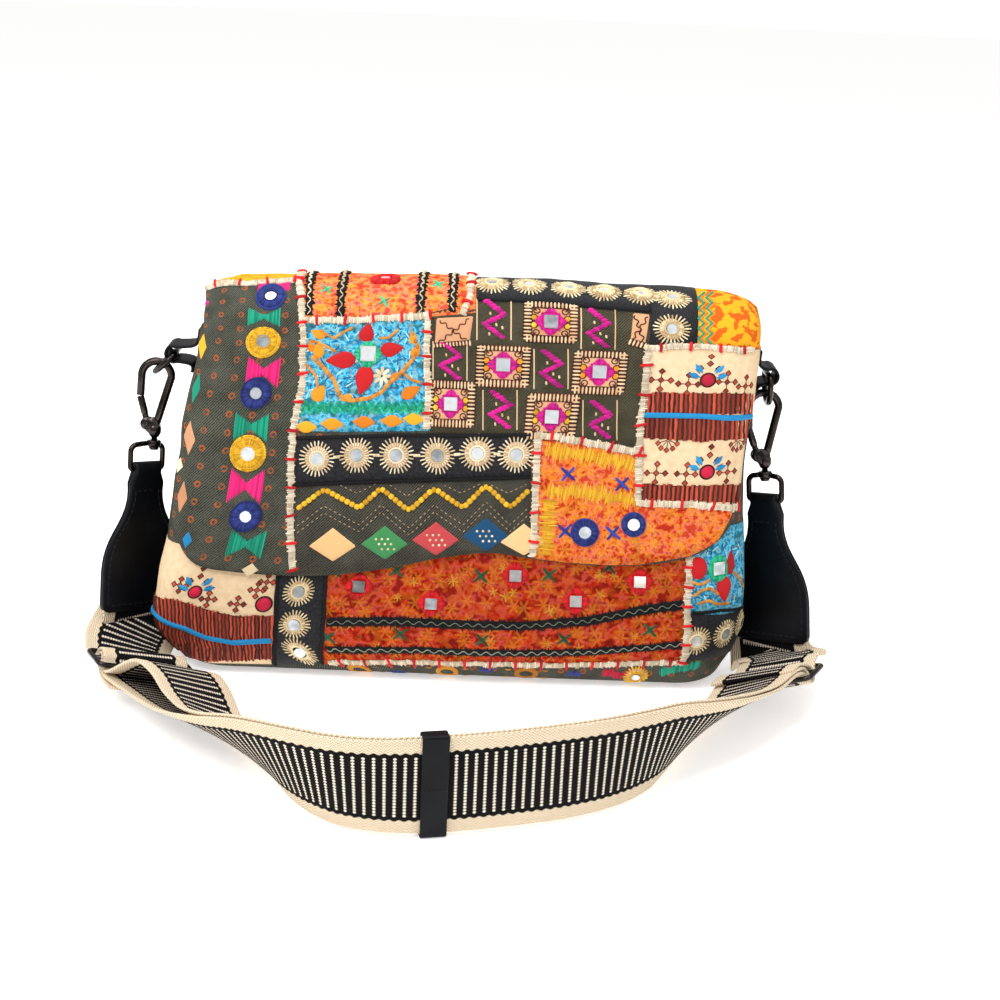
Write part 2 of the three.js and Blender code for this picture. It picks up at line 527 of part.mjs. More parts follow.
// Flared leather strap end: folded round the loop's bar, with a pocket for the webbing.
function strapEnd() {
  const { fit, top, bottom, length, thick, fold, pocket } = STRAP_END;
  const face = new THREE.Shape();
  face.moveTo(-fit / 2, 5).lineTo(-fit / 2, -3).lineTo(-top / 2, -6).lineTo(-top / 2, -14);
  face.bezierCurveTo(-top / 2 - 1, -34, -bottom / 2, -36, -bottom / 2, -62);
  face.lineTo(-bottom / 2, -length + 5).absarc(-bottom / 2 + 5, -length + 5, 5, Math.PI, 1.5 * Math.PI);
  face.lineTo(bottom / 2 - 5, -length).absarc(bottom / 2 - 5, -length + 5, 5, 1.5 * Math.PI, 2 * Math.PI);
  face.lineTo(bottom / 2, -62).bezierCurveTo(bottom / 2, -36, top / 2 + 1, -34, top / 2, -14);
  face.lineTo(top / 2, -6).lineTo(fit / 2, -3).lineTo(fit / 2, 5);
  const plate = new THREE.ExtrudeGeometry(face, { depth: 20, bevelEnabled: false, curveSegments: 6 });
  plate.translate(0, 0, -10).rotateX(Math.PI / 2);
  const profile = new THREE.Shape();
  profile.moveTo(-thick / 2, -length - 1).lineTo(-thick / 2, -13).lineTo(-fold, -2);
  profile.absarc(0, 0, fold, Math.PI + 0.45, -0.45, true).lineTo(thick / 2, -13).lineTo(thick / 2, -length - 1);
  const side = new THREE.ExtrudeGeometry(profile, { depth: 80, bevelEnabled: false, curveSegments: 5 });
  side.translate(0, 0, -40).applyMatrix4(new THREE.Matrix4().makeBasis(vec(0, 1, 0), vec(0, 0, 1), vec(1, 0, 0)));
  const hole = new THREE.CylinderGeometry(LOOP.wire / 2 + FIT, LOOP.wire / 2 + FIT, 80, 10).rotateZ(Math.PI / 2);
  const slot = new THREE.BoxGeometry(WEB_WIDTH + 2 * FIT, WEB_THICK + 2 * FIT, 2 * pocket).translate(0, 0, -length);
  const leather = solid(plate).intersect(solid(side)).subtract(solid(hole)).subtract(solid(slot));
  return geometryOf(leather).translate(0, 0, LOOP.bar);
}

// The hook's frame and, turned about its axis, the strap loop's frame.
function hardwareFrames(side) {
  const hang = new THREE.Group();
  hang.position.set(side.eyeX, tabFold(side).y, side.eyeZ);
  hang.rotation.set(rad(side.pitch), rad(side.lean), 0, 'YXZ');
  const swivel = new THREE.Group();
  swivel.rotation.z = rad(side.swivel);
  swivel.position.x = side.shift;
  hang.add(swivel);
  hang.updateMatrixWorld(true);
  return { hang, swivel };
}

// Slider frame: origin at its middle bar; t towards the front, w along the webbing's width, n off its upper face.
function sliderFrame(side) {
  const { x, y, z, heading, tilt } = SLIDERS[side.name];
  const t = vec(Math.cos(rad(heading)), Math.sin(rad(heading)), 0);
  const outward = vec(-t.y, t.x, 0).multiplyScalar(side.sign);
  const w = outward.multiplyScalar(Math.cos(rad(tilt))).add(vec(0, 0, Math.sin(rad(tilt))));
  const n = vec().crossVectors(t, w).multiplyScalar(side.sign);
  return { origin: vec(x, y, z), t, w, n };
}

function slider(side) {
  const { origin, t, w, n } = sliderFrame(side);
  const { half, bar, radius } = SLIDER;
  const place = (p) => origin.clone().addScaledVector(w, p.x).addScaledVector(t, p.y);
  const outline = new THREE.Path();
  outline.moveTo(half - 3, bar).absarc(half - 3, bar - 3, 3, Math.PI / 2, 0, true);
  outline.absarc(half - 3, -bar + 3, 3, 0, -Math.PI / 2, true).absarc(-half + 3, -bar + 3, 3, 1.5 * Math.PI, Math.PI, true);
  outline.absarc(-half + 3, bar - 3, 3, Math.PI, Math.PI / 2, true);
  const ring = solid(rod(outline.getPoints(2).map(place), n, radius, 8, true));
  const middle = solid(rod([place({ x: -half, y: 0 }), place({ x: half, y: 0 })], n, radius - 0.05, 8));
  return geometryOf(ring.add(middle));
}

// The doubled strap's middle line, as stations with their width direction and the normal towards the bag.
function strapLine(steps) {
  const rows = STRAP.map(({ x, y, lift, tilt }) => vec(x, y, lift + (WEB_WIDTH / 2) * Math.sin(rad(tilt))));
  const curve = new THREE.CatmullRomCurve3(rows, false, 'centripetal');
  return Array.from({ length: steps + 1 }, (_, k) => {
    const u = k / steps;
    const along = curve.getTangent(u).normalize();
    const plan = vec(along.x, along.y, 0).normalize();
    const index = u * (STRAP.length - 1);
    const i = Math.min(Math.floor(index), STRAP.length - 2);
    const tilt = rad(THREE.MathUtils.lerp(STRAP[i].tilt, STRAP[i + 1].tilt, index - i));
    const wide = vec(plan.y, -plan.x, 0).multiplyScalar(Math.cos(tilt)).add(vec(0, 0, Math.sin(tilt)));
    const inward = vec().crossVectors(wide, along).normalize();
    return { at: curve.getPoint(u), wide, inward, along };
  });
}

// One webbing length: from a strap end, through that side's slider, along the front and round the far slider's bar.
function webbing(side, far, reversed) {
  const here = sliderFrame(side);
  const there = sliderFrame(far);
  const flip = SLIDERS[side.name].flip;
  const farFlip = SLIDERS[far.name].flip;
  const { swivel } = hardwareFrames(side);
  const width = WEB_WIDTH;
  const stations = [];
  const mouth = LOOP.bar - STRAP_END.length;
  const across = vec(side.sign, 0, 0).transformDirection(swivel.matrixWorld);
  for (const up of [STRAP_END.pocket - 1, 9, 5, 1, -2.5, -6]) {
    stations.push({ at: vec(0, 0, mouth + up).applyMatrix4(swivel.matrixWorld), wide: across, width });
  }
  const exit = stations[stations.length - 1].at.clone();
  const local = (frame, t, n) => frame.origin.clone().addScaledVector(frame.t, t).addScaledVector(frame.n, n);
  const entry = local(here, RUNNING[0].t, flip * RUNNING[0].n);
  const between = exit.lerp(entry, 0.55).addScaledVector(here.w, side.sway);
  between.z -= 2;
  stations.push({ at: between, wide: across.clone().lerp(here.w, 0.6).normalize(), width });
  for (const { t, n } of RUNNING) stations.push({ at: local(here, t, flip * n), wide: here.w, width });
  const line = strapLine(24);
  if (reversed) line.reverse();
  const layer = (reversed ? -1 : 1) * WEB_PITCH / 2;
  let gone = 0;
  line.forEach((s, i) => {
    gone += i ? s.at.distanceTo(line[i - 1].at) : 0;
    if (i === 0 || i === line.length - 1) return;
    const t = Math.min(gone / ARCH.reach, 1);
    const arch = reversed ? 0 : ARCH.height * Math.sin(Math.PI * Math.sqrt(t)) ** 2;
    stations.push({ at: s.at.clone().addScaledVector(s.inward, layer + arch), wide: s.wide, width });
  });
  for (const { t, n } of LOOPED) stations.push({ at: local(there, t, farFlip * n), wide: there.w, width });
  return band(smoothStations(reversed ? stations.reverse() : stations), WEB_THICK);
}

// More stations along a smooth curve through the given ones, closer together where they are close.
function smoothStations(stations) {
  const curve = new THREE.CatmullRomCurve3(stations.map((s) => s.at), false, 'centripetal');
  const result = [];
  stations.forEach((s, i) => {
    const parts = i + 1 < stations.length ? 2 : 1;
    for (let k = 0; k < parts; k++) {
      const next = stations[Math.min(i + 1, stations.length - 1)];
      const wide = s.wide.clone().lerp(next.wide, k / parts).normalize();
      result.push({ at: curve.getPoint((i + k / parts) / (stations.length - 1)), wide, width: s.width });
    }
  });
  return result;
}

// Leather keeper: a flat ring round both webbing layers.
function keeper() {
  const line = strapLine(200);
  const { at, wide, inward, along } = line[Math.round(KEEPER.along * 200)];
  const half = { wide: WEB_WIDTH / 2 + FIT, deep: WEB_PITCH / 2 + WEB_THICK / 2 + 2 * FIT };
  const box = (grow, length) => {
    const geometry = new THREE.BoxGeometry(2 * (half.deep + grow), 2 * (half.wide + grow), length);
    return solid(geometry.applyMatrix4(new THREE.Matrix4().makeBasis(inward, wide, along).setPosition(at)));
  };
  return geometryOf(box(LEATHER * 0.7, KEEPER.width).subtract(box(0, KEEPER.width * 2)));
}

// A mirror lying on the cloth: spot gives the surface point for a pair of cloth coordinates.
function mirror({ name, shape, size }, spot, u, v, parent) {
  const [du, dv] = [0.01 * Math.max(Math.abs(u), 1), 0.5];
  const across = spot(u + du, v).sub(spot(u - du, v)).normalize();
  const down = spot(u, v + dv).sub(spot(u, v - dv)).normalize();
  const out = vec().crossVectors(down, across).normalize();
  if (out.y > 0) out.negate();
  const { thick, clear, sides } = MIRROR;
  const geometry = shape === 'round'
    ? new THREE.CylinderGeometry(size / 2, size / 2, thick, sides)
    : new THREE.BoxGeometry(size, thick, size);
  const mesh = named(`mirror_${name}`, geometry, MIRROR_FINISH, parent);
  const side = vec().crossVectors(out, across).negate();
  mesh.quaternion.setFromRotationMatrix(new THREE.Matrix4().makeBasis(vec().crossVectors(out, side), out, side));
  mesh.position.copy(spot(u, v)).addScaledVector(out, clear + thick / 2);
}

function flapSpot(across, down) {
  const stage = down < 0 ? 2 + down / ROLL_LENGTH : 2 + down / (SPRING - flapEdge(across));
  return flapPoint(across, stage, FLAP_GAP + CLOTH);
}

// Assembly.
const bag = new THREE.Group();
bag.name = 'crossbody_bag';
named('bag_body', bagBody(), CLOTH_FINISH, bag);
named('flap', flap(), FLAP_FINISH, bag);
for (const side of SIDES) {
  named(`tab_${side.name}`, tab(side), LEATHER_FINISH, bag);
  named(`d_ring_${side.name}`, dRing(side), METAL_FINISH, bag);
  const { hang, swivel } = hardwareFrames(side);
  bag.add(hang);
  named(`hook_${side.name}`, snapHook(), METAL_FINISH, hang);
  named(`gate_${side.name}`, hookGate(), METAL_FINISH, hang);
  named(`swivel_loop_${side.name}`, swivelLoop(side), METAL_FINISH, swivel);
  named(`strap_end_${side.name}`, strapEnd(), LEATHER_FINISH, swivel);
  named(`slider_${side.name}`, slider(side), METAL_FINISH, bag);
}
named('webbing_left', webbing(SIDES[0], SIDES[1], false), WEB_FINISH, bag);
named('webbing_right', webbing(SIDES[1], SIDES[0], true), WEB_FINISH, bag);
named('keeper', keeper(), LEATHER_FINISH, bag);
for (const row of FLAP_MIRRORS) mirror(row, flapSpot, row.across, row.down, bag);
for (const row of FRONT_MIRRORS) mirror(row, (place, z) => bodyPoint(z, place), row.place, row.z, bag);

export default bag;
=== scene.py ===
"""Embroidered crossbody bag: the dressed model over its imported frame.

Tables are in millimetres, or in pixels of the 1000 by 1000 photograph where they say so.
"""
import math
import random
from collections import namedtuple

import bpy
import numpy as np
from mathutils import Matrix, Vector
from mathutils.bvhtree import BVHTree


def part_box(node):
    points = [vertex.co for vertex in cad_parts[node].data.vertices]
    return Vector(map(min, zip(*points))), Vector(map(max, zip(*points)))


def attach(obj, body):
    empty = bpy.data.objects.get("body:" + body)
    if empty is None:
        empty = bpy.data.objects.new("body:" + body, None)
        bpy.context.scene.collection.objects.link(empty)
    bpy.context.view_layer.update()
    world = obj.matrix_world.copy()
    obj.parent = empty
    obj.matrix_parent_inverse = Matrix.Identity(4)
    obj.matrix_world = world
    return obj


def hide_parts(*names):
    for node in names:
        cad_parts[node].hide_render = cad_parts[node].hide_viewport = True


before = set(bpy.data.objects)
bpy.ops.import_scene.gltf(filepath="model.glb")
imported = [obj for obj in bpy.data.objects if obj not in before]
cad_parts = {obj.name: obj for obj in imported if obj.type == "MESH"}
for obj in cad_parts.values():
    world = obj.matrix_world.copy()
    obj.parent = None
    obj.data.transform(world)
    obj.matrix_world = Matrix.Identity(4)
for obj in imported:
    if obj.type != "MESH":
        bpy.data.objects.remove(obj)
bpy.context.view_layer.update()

MM = 0.001
RANDOM = random.Random(7)
WHITE = (1.0, 1.0, 1.0, 1.0)
ALONG_Y = (0.0, 1.0, 0.0)
ALONG_Z = (0.0, 0.0, 1.0)

# Camera, as found from the photograph.
TARGET = np.array([0.0, -40.0, 105.0])
DISTANCE = 1000.0
ELEVATION = math.radians(18)
CAMERA_ROLL = math.radians(2.2)
FOCAL_PX = 1780.0
CENTRE_PX = np.array([468.0, 504.0])
FRAME_PX = 1000.0
SENSOR = 36.0
FORWARD = np.array([0.0, math.cos(ELEVATION), -math.sin(ELEVATION)])
RIGHT = np.array([1.0, 0.0, 0.0])
UP = np.cross(RIGHT, FORWARD)
EYE = TARGET - FORWARD * DISTANCE


def add_object(name, data):
    obj = bpy.data.objects.new(name, data)
    bpy.context.scene.collection.objects.link(obj)
    return obj


def add_camera():
    data = bpy.data.cameras.new("photo_camera")
    data.sensor_width = SENSOR
    data.lens = FOCAL_PX * SENSOR / FRAME_PX
    data.shift_x = 0.5 - CENTRE_PX[0] / FRAME_PX
    data.shift_y = CENTRE_PX[1] / FRAME_PX - 0.5
    camera = add_object("photo_camera", data)
    axes = Matrix((RIGHT, UP, -FORWARD)).transposed() @ Matrix.Rotation(CAMERA_ROLL, 3, "Z")
    camera.matrix_world = Matrix.Translation(Vector(EYE) * MM) @ axes.to_4x4()
    bpy.context.scene.camera = camera


def pixel_direction(px, py):
    x, y = np.array([px, py]) - CENTRE_PX
    c, s = math.cos(CAMERA_ROLL), math.sin(CAMERA_ROLL)
    return FORWARD * FOCAL_PX + RIGHT * (x * c + y * s) - UP * (y * c - x * s)


# Geometry helpers.
def spread(*values):
    return np.broadcast_arrays(*[np.asarray(v, float) for v in values])


def unit(v):
    return v / np.linalg.norm(v, axis=-1, keepdims=True)


def heading(path, joined=False):
    """Directions along a path, joined if its end meets its start."""
    return np.roll(path, -1, 0) - np.roll(path, 1, 0) if joined else np.gradient(path, axis=0)


def left_of(along):
    """Flat directions, turned by a quarter."""
    return np.stack([-along[..., 1], along[..., 0]], -1)


def gone_along(path):
    """Length from the start of a path to each of its points."""
    return np.r_[0, np.cumsum(np.linalg.norm(np.diff(path, axis=0), axis=1))]


def step_lengths(path):
    return np.hypot(*np.diff(path, axis=0).T)


def band_faces(rows, n, joined=False, ring=False, flip=False):
    """Quads between rows of n points: joined if the last row meets the first, ring if rows are closed."""
    faces = []
    for i in range(rows if joined else rows - 1):
        a, b = i * n, (i + 1) % rows * n
        for k in range(n if ring else n - 1):
            m = (k + 1) % n
            faces.append((a + k, b + k, b + m, a + m) if flip else (a + k, a + m, b + m, b + k))
    return faces


def smooth_rows(rows, value):
    """Every column of a table at the key values, each on a smooth curve through its rows."""
    rows = np.asarray(rows, float)
    value = np.asarray(value, float)
    key = rows[:, 0]
    last = len(key) - 1
    before, after = np.r_[0, 0:last], np.r_[1 : last + 1, last]
    slope = (rows[after] - rows[before]) / (key[after] - key[before])[:, None]
    i = np.clip(np.searchsorted(key, value) - 1, 0, last - 1)
    span = (key[i + 1] - key[i])[..., None]
    t = np.clip((value - key[i])[..., None] / span, 0, 1)
    ends = (2 * t**3 - 3 * t**2 + 1) * rows[i] + (3 * t**2 - 2 * t**3) * rows[i + 1]
    return ends + ((t**3 - 2 * t**2 + t) * slope[i] + (t**3 - t**2) * slope[i + 1]) * span


def smooth_curve(points, steps):
    """Points on a smooth curve through the given ones, at steps counted in those points."""
    points = np.asarray(points, float)
    ends = np.vstack([2 * points[0] - points[1], points, 2 * points[-1] - points[-2]])
    i = np.clip(np.floor(steps).astype(int), 0, len(points) - 2)
    w = (steps - i)[:, None]
    p0, p1, p2, p3 = [ends[i + k] for k in range(4)]
    pairs = (p0, p1), (p1, p2), (p2, p3)
    d0, d1, d2 = [np.linalg.norm(b - a, axis=1)[:, None] ** 0.5 for a, b in pairs]
    t1 = d1 * ((p1 - p0) / d0 - (p2 - p0) / (d0 + d1) + (p2 - p1) / d1)
    t2 = d1 * ((p2 - p1) / d1 - (p3 - p1) / (d1 + d2) + (p3 - p2) / d2)
    return p1 + t1 * w + (3 * (p2 - p1) - 2 * t1 - t2) * w**2 + (2 * (p1 - p2) + t1 + t2) * w**3


# Surfaces of the bag, as in its source.
# BODY: z, left, right, front, back, left corner, right corner, belly, left hollow, right hollow.
BODY = [
    (0, 152, 144, -38, 36, 22, 24, 0, 10, 8),
    (4, 160, 149, -46.5, 43, 22, 27, 0.5, 13, 10),
    (12, 167, 152.5, -52, 47.5, 20, 29, 1.5, 17, 12),
    (26, 177, 159.5, -55, 49.5, 18, 33, 3, 21, 13),
    (48, 176, 161.5, -55.5, 49.5, 20, 34, 4, 19, 13),
    (80, 171, 159.5, -53, 47, 26, 33, 4.5, 11, 12),
    (115, 167, 156.5, -48.5, 43.5, 30, 31, 4.5, 4, 11),
    (150, 162, 157, -43.5, 39, 28, 28, 4, 2, 10),
    (170, 157.5, 159.5, -40, 36, 26, 26, 3.3, 1.5, 3),
    (196, 152.5, 160.5, -36, 33.5, 24, 24, 2, 1, 1),
]
RIM, SPRING, FOOT = 196.0, 198.0, 12.0
NEAR_Z, NEAR_PLACE = 0.5, 0.02
ROLL_LENGTH = 105.0
CLOTH_THICK, CLOTH_GAP = 2.4, 0.2
FLAP_OFF, FLAP_SEAM, FLAP_LEVEL = 3.0, 172.0, 115.0
FLAP_LEFT, FLAP_RIGHT = -165.0, 154.0
FLAP_RISE, FLAP_SAG = 27.0, 4.0
FLAP_MARGIN = 0.3
# The roll and its front end lie this much lower than their source, where mirrors rest on flat facets.
ROLL_SINK, SHOULDER_SINK, SHOULDER_AT, SHOULDER_WIDE = 0.8, 0.5, -5.0, 9.0
SLACK_LENGTH = 8.0
CORNER_WIDE, CORNER_HIGH = 40.0, 33.0
# LOWER_EDGE: across, z.
LOWER_EDGE = [
    (-166, 68), (-130, 66), (-100, 64.5), (-70, 66), (-40, 72), (-12, 79.5),
    (14, 83), (40, 80), (70, 77.5), (100, 78.5), (125, 83), (155, 88),
]
# Small ripples of the quilted cloth: wavelength, heading in degrees, height, phase.
RIPPLES = [
    (61, 24, 0.16, 0.4), (43, 105, 0.14, 1.9), (27, 62, 0.1, 3.1), (17, 140, 0.07, 0.7),
    (11, 10, 0.04, 5.0),
]
# The flap's wavy left edge: where its waves start, the length over which they grow, their half height,
# the long wave and its phase, the short wave and its share.
WAVY_FROM, WAVY_GROWS, WAVY_HEIGHT = -138, 20, 0.5
WAVY_LONG, WAVY_PHASE, WAVY_SHORT, WAVY_SHARE = 7.4, 1.0, 4.1, 0.6
BODY_RIPPLE, CALM_BELOW = 0.8, 20
# The body's cloth coordinate runs round the section: place and millimetres from the front middle.
BODY_ROUND = [
    (-5, -430), (-4, -277), (-3, -243), (-2, -187), (-1, -153), (0, 0),
    (1, 127), (2, 180), (3, 225), (4, 278), (5, 405),
]
BODY_PLACES, BODY_ACROSS = np.array(BODY_ROUND, float).T
# Points of the cloth meshes.
FLAP_COLUMNS, CORNER_COLUMNS, BACK_ROWS, ROLL_ROWS, FRONT_ROWS = 161, 18, 10, 49, 61
BODY_COLUMNS, FOOT_ROWS, BODY_ROWS = 380, 9, 88
PIXEL_SEARCH = range(0, 60, 2)


def body_point(z, place):
    """Place: 0 front middle, 1 to 2 front corner, 2 to 3 gusset, 3 to 4 back corner, 5 back middle."""
    z, place = spread(z, place)
    columns = np.moveaxis(smooth_rows(BODY, z), -1, 0)
    _, left, right, front, back, left_bend, right_bend, belly, left_dent, right_dent = columns
    on_left = place < 0
    reach = np.where(on_left, left, right)
    corner = np.where(on_left, left_bend, right_bend)
    hollow = np.where(on_left, left_dent, right_dent)
    stretch = np.minimum(np.floor(np.abs(place)), 4)
    t = np.abs(place) - stretch
    rise, fall = np.sin(t * np.pi / 2), np.cos(t * np.pi / 2)
    inner = reach - corner
    gusset = reach - hollow * np.sin(np.pi * t) ** 2
    side = (front + corner) * (1 - t) + (back - corner) * t
    cases = [stretch == k for k in range(4)]
    xs = [t * inner, inner + corner * rise, gusset, inner + corner * fall]
    ys = [front - belly * fall**2, front + corner * (1 - fall), side, back - corner * (1 - rise)]
    x, y = np.select(cases, xs, inner * (1 - t)), np.select(cases, ys, back)
    return np.stack([np.where(on_left, -x, x), y, z], -1)


def off_body(z, place, distance):
    up = body_point(np.minimum(z + NEAR_Z, RIM), place) - body_point(np.maximum(z - NEAR_Z, 0), place)
    after, before = np.minimum(place + NEAR_PLACE, 5), np.maximum(place - NEAR_PLACE, -5)
    normal = unit(np.cross(body_point(z, after) - body_point(z, before), up))
    return body_point(z, place) + normal * np.asarray(distance)[..., None]


def ripple(across, down):
    total = 0
    for length, degrees, height, phase in RIPPLES:
        angle = math.radians(degrees)
        run = across * math.cos(angle) + down * math.sin(angle)
        total = total + height * np.sin(run * 2 * np.pi / length + phase)
    wavy = np.clip((WAVY_FROM - across) / WAVY_GROWS, 0, 1)
    waves = np.sin(down / WAVY_LONG + WAVY_PHASE) + WAVY_SHARE * np.sin(down / WAVY_SHORT)
    return total + wavy * waves * WAVY_HEIGHT


def flap_place(across):
    row = smooth_rows(BODY, FLAP_LEVEL)
    corner = np.where(across < 0, row[5], row[6])
    straight = np.where(across < 0, row[1], row[2]) - corner
    past = np.abs(across) - straight
    place = np.where(past < 0, np.abs(across) / straight, 1 + past / (corner * np.pi / 2))
    return np.sign(across) * place


def flap_edge(across):
    """Cloth from the front end of the roll down to the flap's lower edge."""
    past = np.abs(across) - np.where(across < 0, -FLAP_LEFT, FLAP_RIGHT) + CORNER_WIDE
    inside = np.clip(1 - (np.maximum(past, 0) / CORNER_WIDE) ** 2, 0, 1)
    return SPRING - smooth_rows(LOWER_EDGE, across)[..., 1] - CORNER_HIGH * (1 - np.sqrt(inside))


def flap_surface(across, down, height):
    """Down is 0 at the front end of the roll, and negative over the roll and down the back."""
    across, down, height = spread(across, down, height)
    sink = SHOULDER_SINK * np.exp(-((down - SHOULDER_AT) / SHOULDER_WIDE) ** 2)
    distance = FLAP_OFF + height + ripple(across, down) - sink
    place = flap_place(across)
    behind = np.where(place < 0, -1, 1) * (5 - np.abs(place))
    back_top, front_top = [off_body(np.full_like(place, RIM), p, distance) for p in (behind, place)]
    turn = np.clip(np.pi * (1 + down / ROLL_LENGTH), 0, np.pi)
    roll = back_top + (front_top - back_top) * ((1 - np.cos(turn)) / 2)[..., None]
    rim = smooth_rows(BODY, RIM)
    narrow = (back_top - front_top)[..., 1] / (rim[4] - rim[3] + 2 * FLAP_OFF)
    rise = (FLAP_RISE - FLAP_SAG * (across / FLAP_LEFT) ** 2) * narrow + distance - ROLL_SINK
    roll[..., 2] = RIM + rise * np.sin(turn)
    slack = (SPRING - RIM) * (1 - np.exp(-np.maximum(down, 0) / SLACK_LENGTH))
    front = off_body(np.clip(RIM - down + slack, 0, RIM), place, distance)
    back = off_body(np.clip(SPRING + ROLL_LENGTH + down, 0, RIM), behind, distance)
    over = np.where((down <= -ROLL_LENGTH)[..., None], back, roll)
    return np.where((down >= 0)[..., None], front, over)


def front_surface(across, down, height):
    """The body's cloth: down is measured from the rim."""
    across, down, height = spread(across, down, height)
    place = np.interp(across, BODY_ACROSS, BODY_PLACES)
    z = np.clip(RIM - down, 0, RIM)
    calm = np.clip(z / CALM_BELOW, 0, 1)
    return off_body(z, place, height + ripple(across, down) * calm * BODY_RIPPLE)


class Cloth:
    """A curved cloth with flat coordinates: across, down and height, in millimetres."""

    def __init__(self, surface, across, down, limits=None):
        self.surface, self.limits = surface, limits
        self.rows, self.columns = across.shape
        self.flat = np.stack([across.ravel(), down.ravel()], -1)
        self.points = surface(across, down, 0).reshape(-1, 3)
        self.quads = band_faces(self.rows, self.columns, flip=True)
        self.tree = BVHTree.FromPolygons(self.points.tolist(), self.quads)

    def spot(self, px, py):
        """Cloth coordinates under a pixel, or under a near pixel that meets the cloth."""
        inward = 1 if px < CENTRE_PX[0] else -1
        for step in PIXEL_SEARCH:
            for x, y in ((0, step), (step * inward, 0), (step * inward, step), (0, -step)):
                sight = Vector(pixel_direction(px + x, py + y))
                hit, _, face, _ = self.tree.ray_cast(Vector(EYE), sight)
                if hit is not None:
                    return self.flat_of(hit, face)
        raise ValueError(f"pixel {px}, {py} is too far from the cloth")

    def spots(self, pixels):
        return np.array([self.spot(*p) for p in pixels])

    def under(self, node):
        """Cloth coordinates under the middle of a CAD node, and its height there."""
        low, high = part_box(node)
        hit, _, face, away = self.tree.find_nearest((low + high) / 2 / MM)
        return self.flat_of(hit, face), away

    def flat_of(self, hit, face):
        a, b, _, d = self.quads[face]
        sides = np.stack([self.points[d] - self.points[a], self.points[b] - self.points[a]], -1)
        (s, t), *_ = np.linalg.lstsq(sides, np.array(hit) - self.points[a], rcond=None)
        return self.flat[a] + s * (self.flat[d] - self.flat[a]) + t * (self.flat[b] - self.flat[a])


def flap_limits(flat):
    across = np.clip(flat[:, 0], FLAP_LEFT + FLAP_MARGIN, FLAP_RIGHT - FLAP_MARGIN)
    down = np.minimum(flat[:, 1], flap_edge(across) - FLAP_MARGIN)
    return np.stack([across, down], -1)


def flap_cloth():
    across = np.linspace(FLAP_LEFT, FLAP_RIGHT, FLAP_COLUMNS)
    inside = across[(across > FLAP_LEFT + CORNER_WIDE) & (across < FLAP_RIGHT - CORNER_WIDE)]
    corner = CORNER_WIDE * (1 - np.cos(np.linspace(0, np.pi / 2, CORNER_COLUMNS)))
    across = np.unique(np.r_[FLAP_LEFT + corner, inside, FLAP_RIGHT - corner])
    roll = np.r_[np.linspace(FLAP_SEAM - SPRING - ROLL_LENGTH, -ROLL_LENGTH, BACK_ROWS)[:-1],
                 np.linspace(-ROLL_LENGTH, 0, ROLL_ROWS)[:-1]]
    front = np.linspace(0, 1, FRONT_ROWS)[:, None] * flap_edge(across)[None, :]
    down = np.vstack([np.tile(roll[:, None], (1, len(across))), front])
    return Cloth(flap_surface, np.tile(across, (len(down), 1)), down, flap_limits)


def body_cloth():
    even = np.linspace(BODY_ACROSS[0], BODY_ACROSS[-1], BODY_COLUMNS)
    places = np.unique(np.r_[np.interp(even, BODY_ACROSS, BODY_PLACES), BODY_PLACES])
    across = np.interp(places, BODY_PLACES, BODY_ACROSS)
    z = np.r_[np.linspace(0, FOOT, FOOT_ROWS)[:-1], np.linspace(FOOT, RIM, BODY_ROWS)]
    grid_across, grid_z = np.meshgrid(across, z[::-1])
    return Cloth(front_surface, grid_across, RIM - grid_z)


def piece(name, points, faces, materials, marks=None, flat=None, body="bag"):
    mesh = bpy.data.meshes.new(name)
    mesh.from_pydata((np.asarray(points) * MM).tolist(), [], [list(f) for f in faces])
    for material in materials:
        mesh.materials.append(material)
    if marks is not None:
        mesh.polygons.foreach_set("material_index", marks)
    mesh.polygons.foreach_set("use_smooth", [True] * len(mesh.polygons))
    if flat is not None:
        loops = np.empty(len(mesh.loops), int)
        mesh.loops.foreach_get("vertex_index", loops)
        layer = mesh.uv_layers.new(name="cloth")
        layer.data.foreach_set("uv", (np.asarray(flat)[loops] * MM).ravel())
    obj = add_object(name, mesh)
    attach(obj, body)
    return obj


# Materials.
def colour(hexa):
    """A web colour as linear values."""
    values = [int(hexa[k : k + 2], 16) / 255 for k in (0, 2, 4)]
    return (*[v / 12.92 if v <= 0.04045 else ((v + 0.055) / 1.055) ** 2.4 for v in values], 1.0)


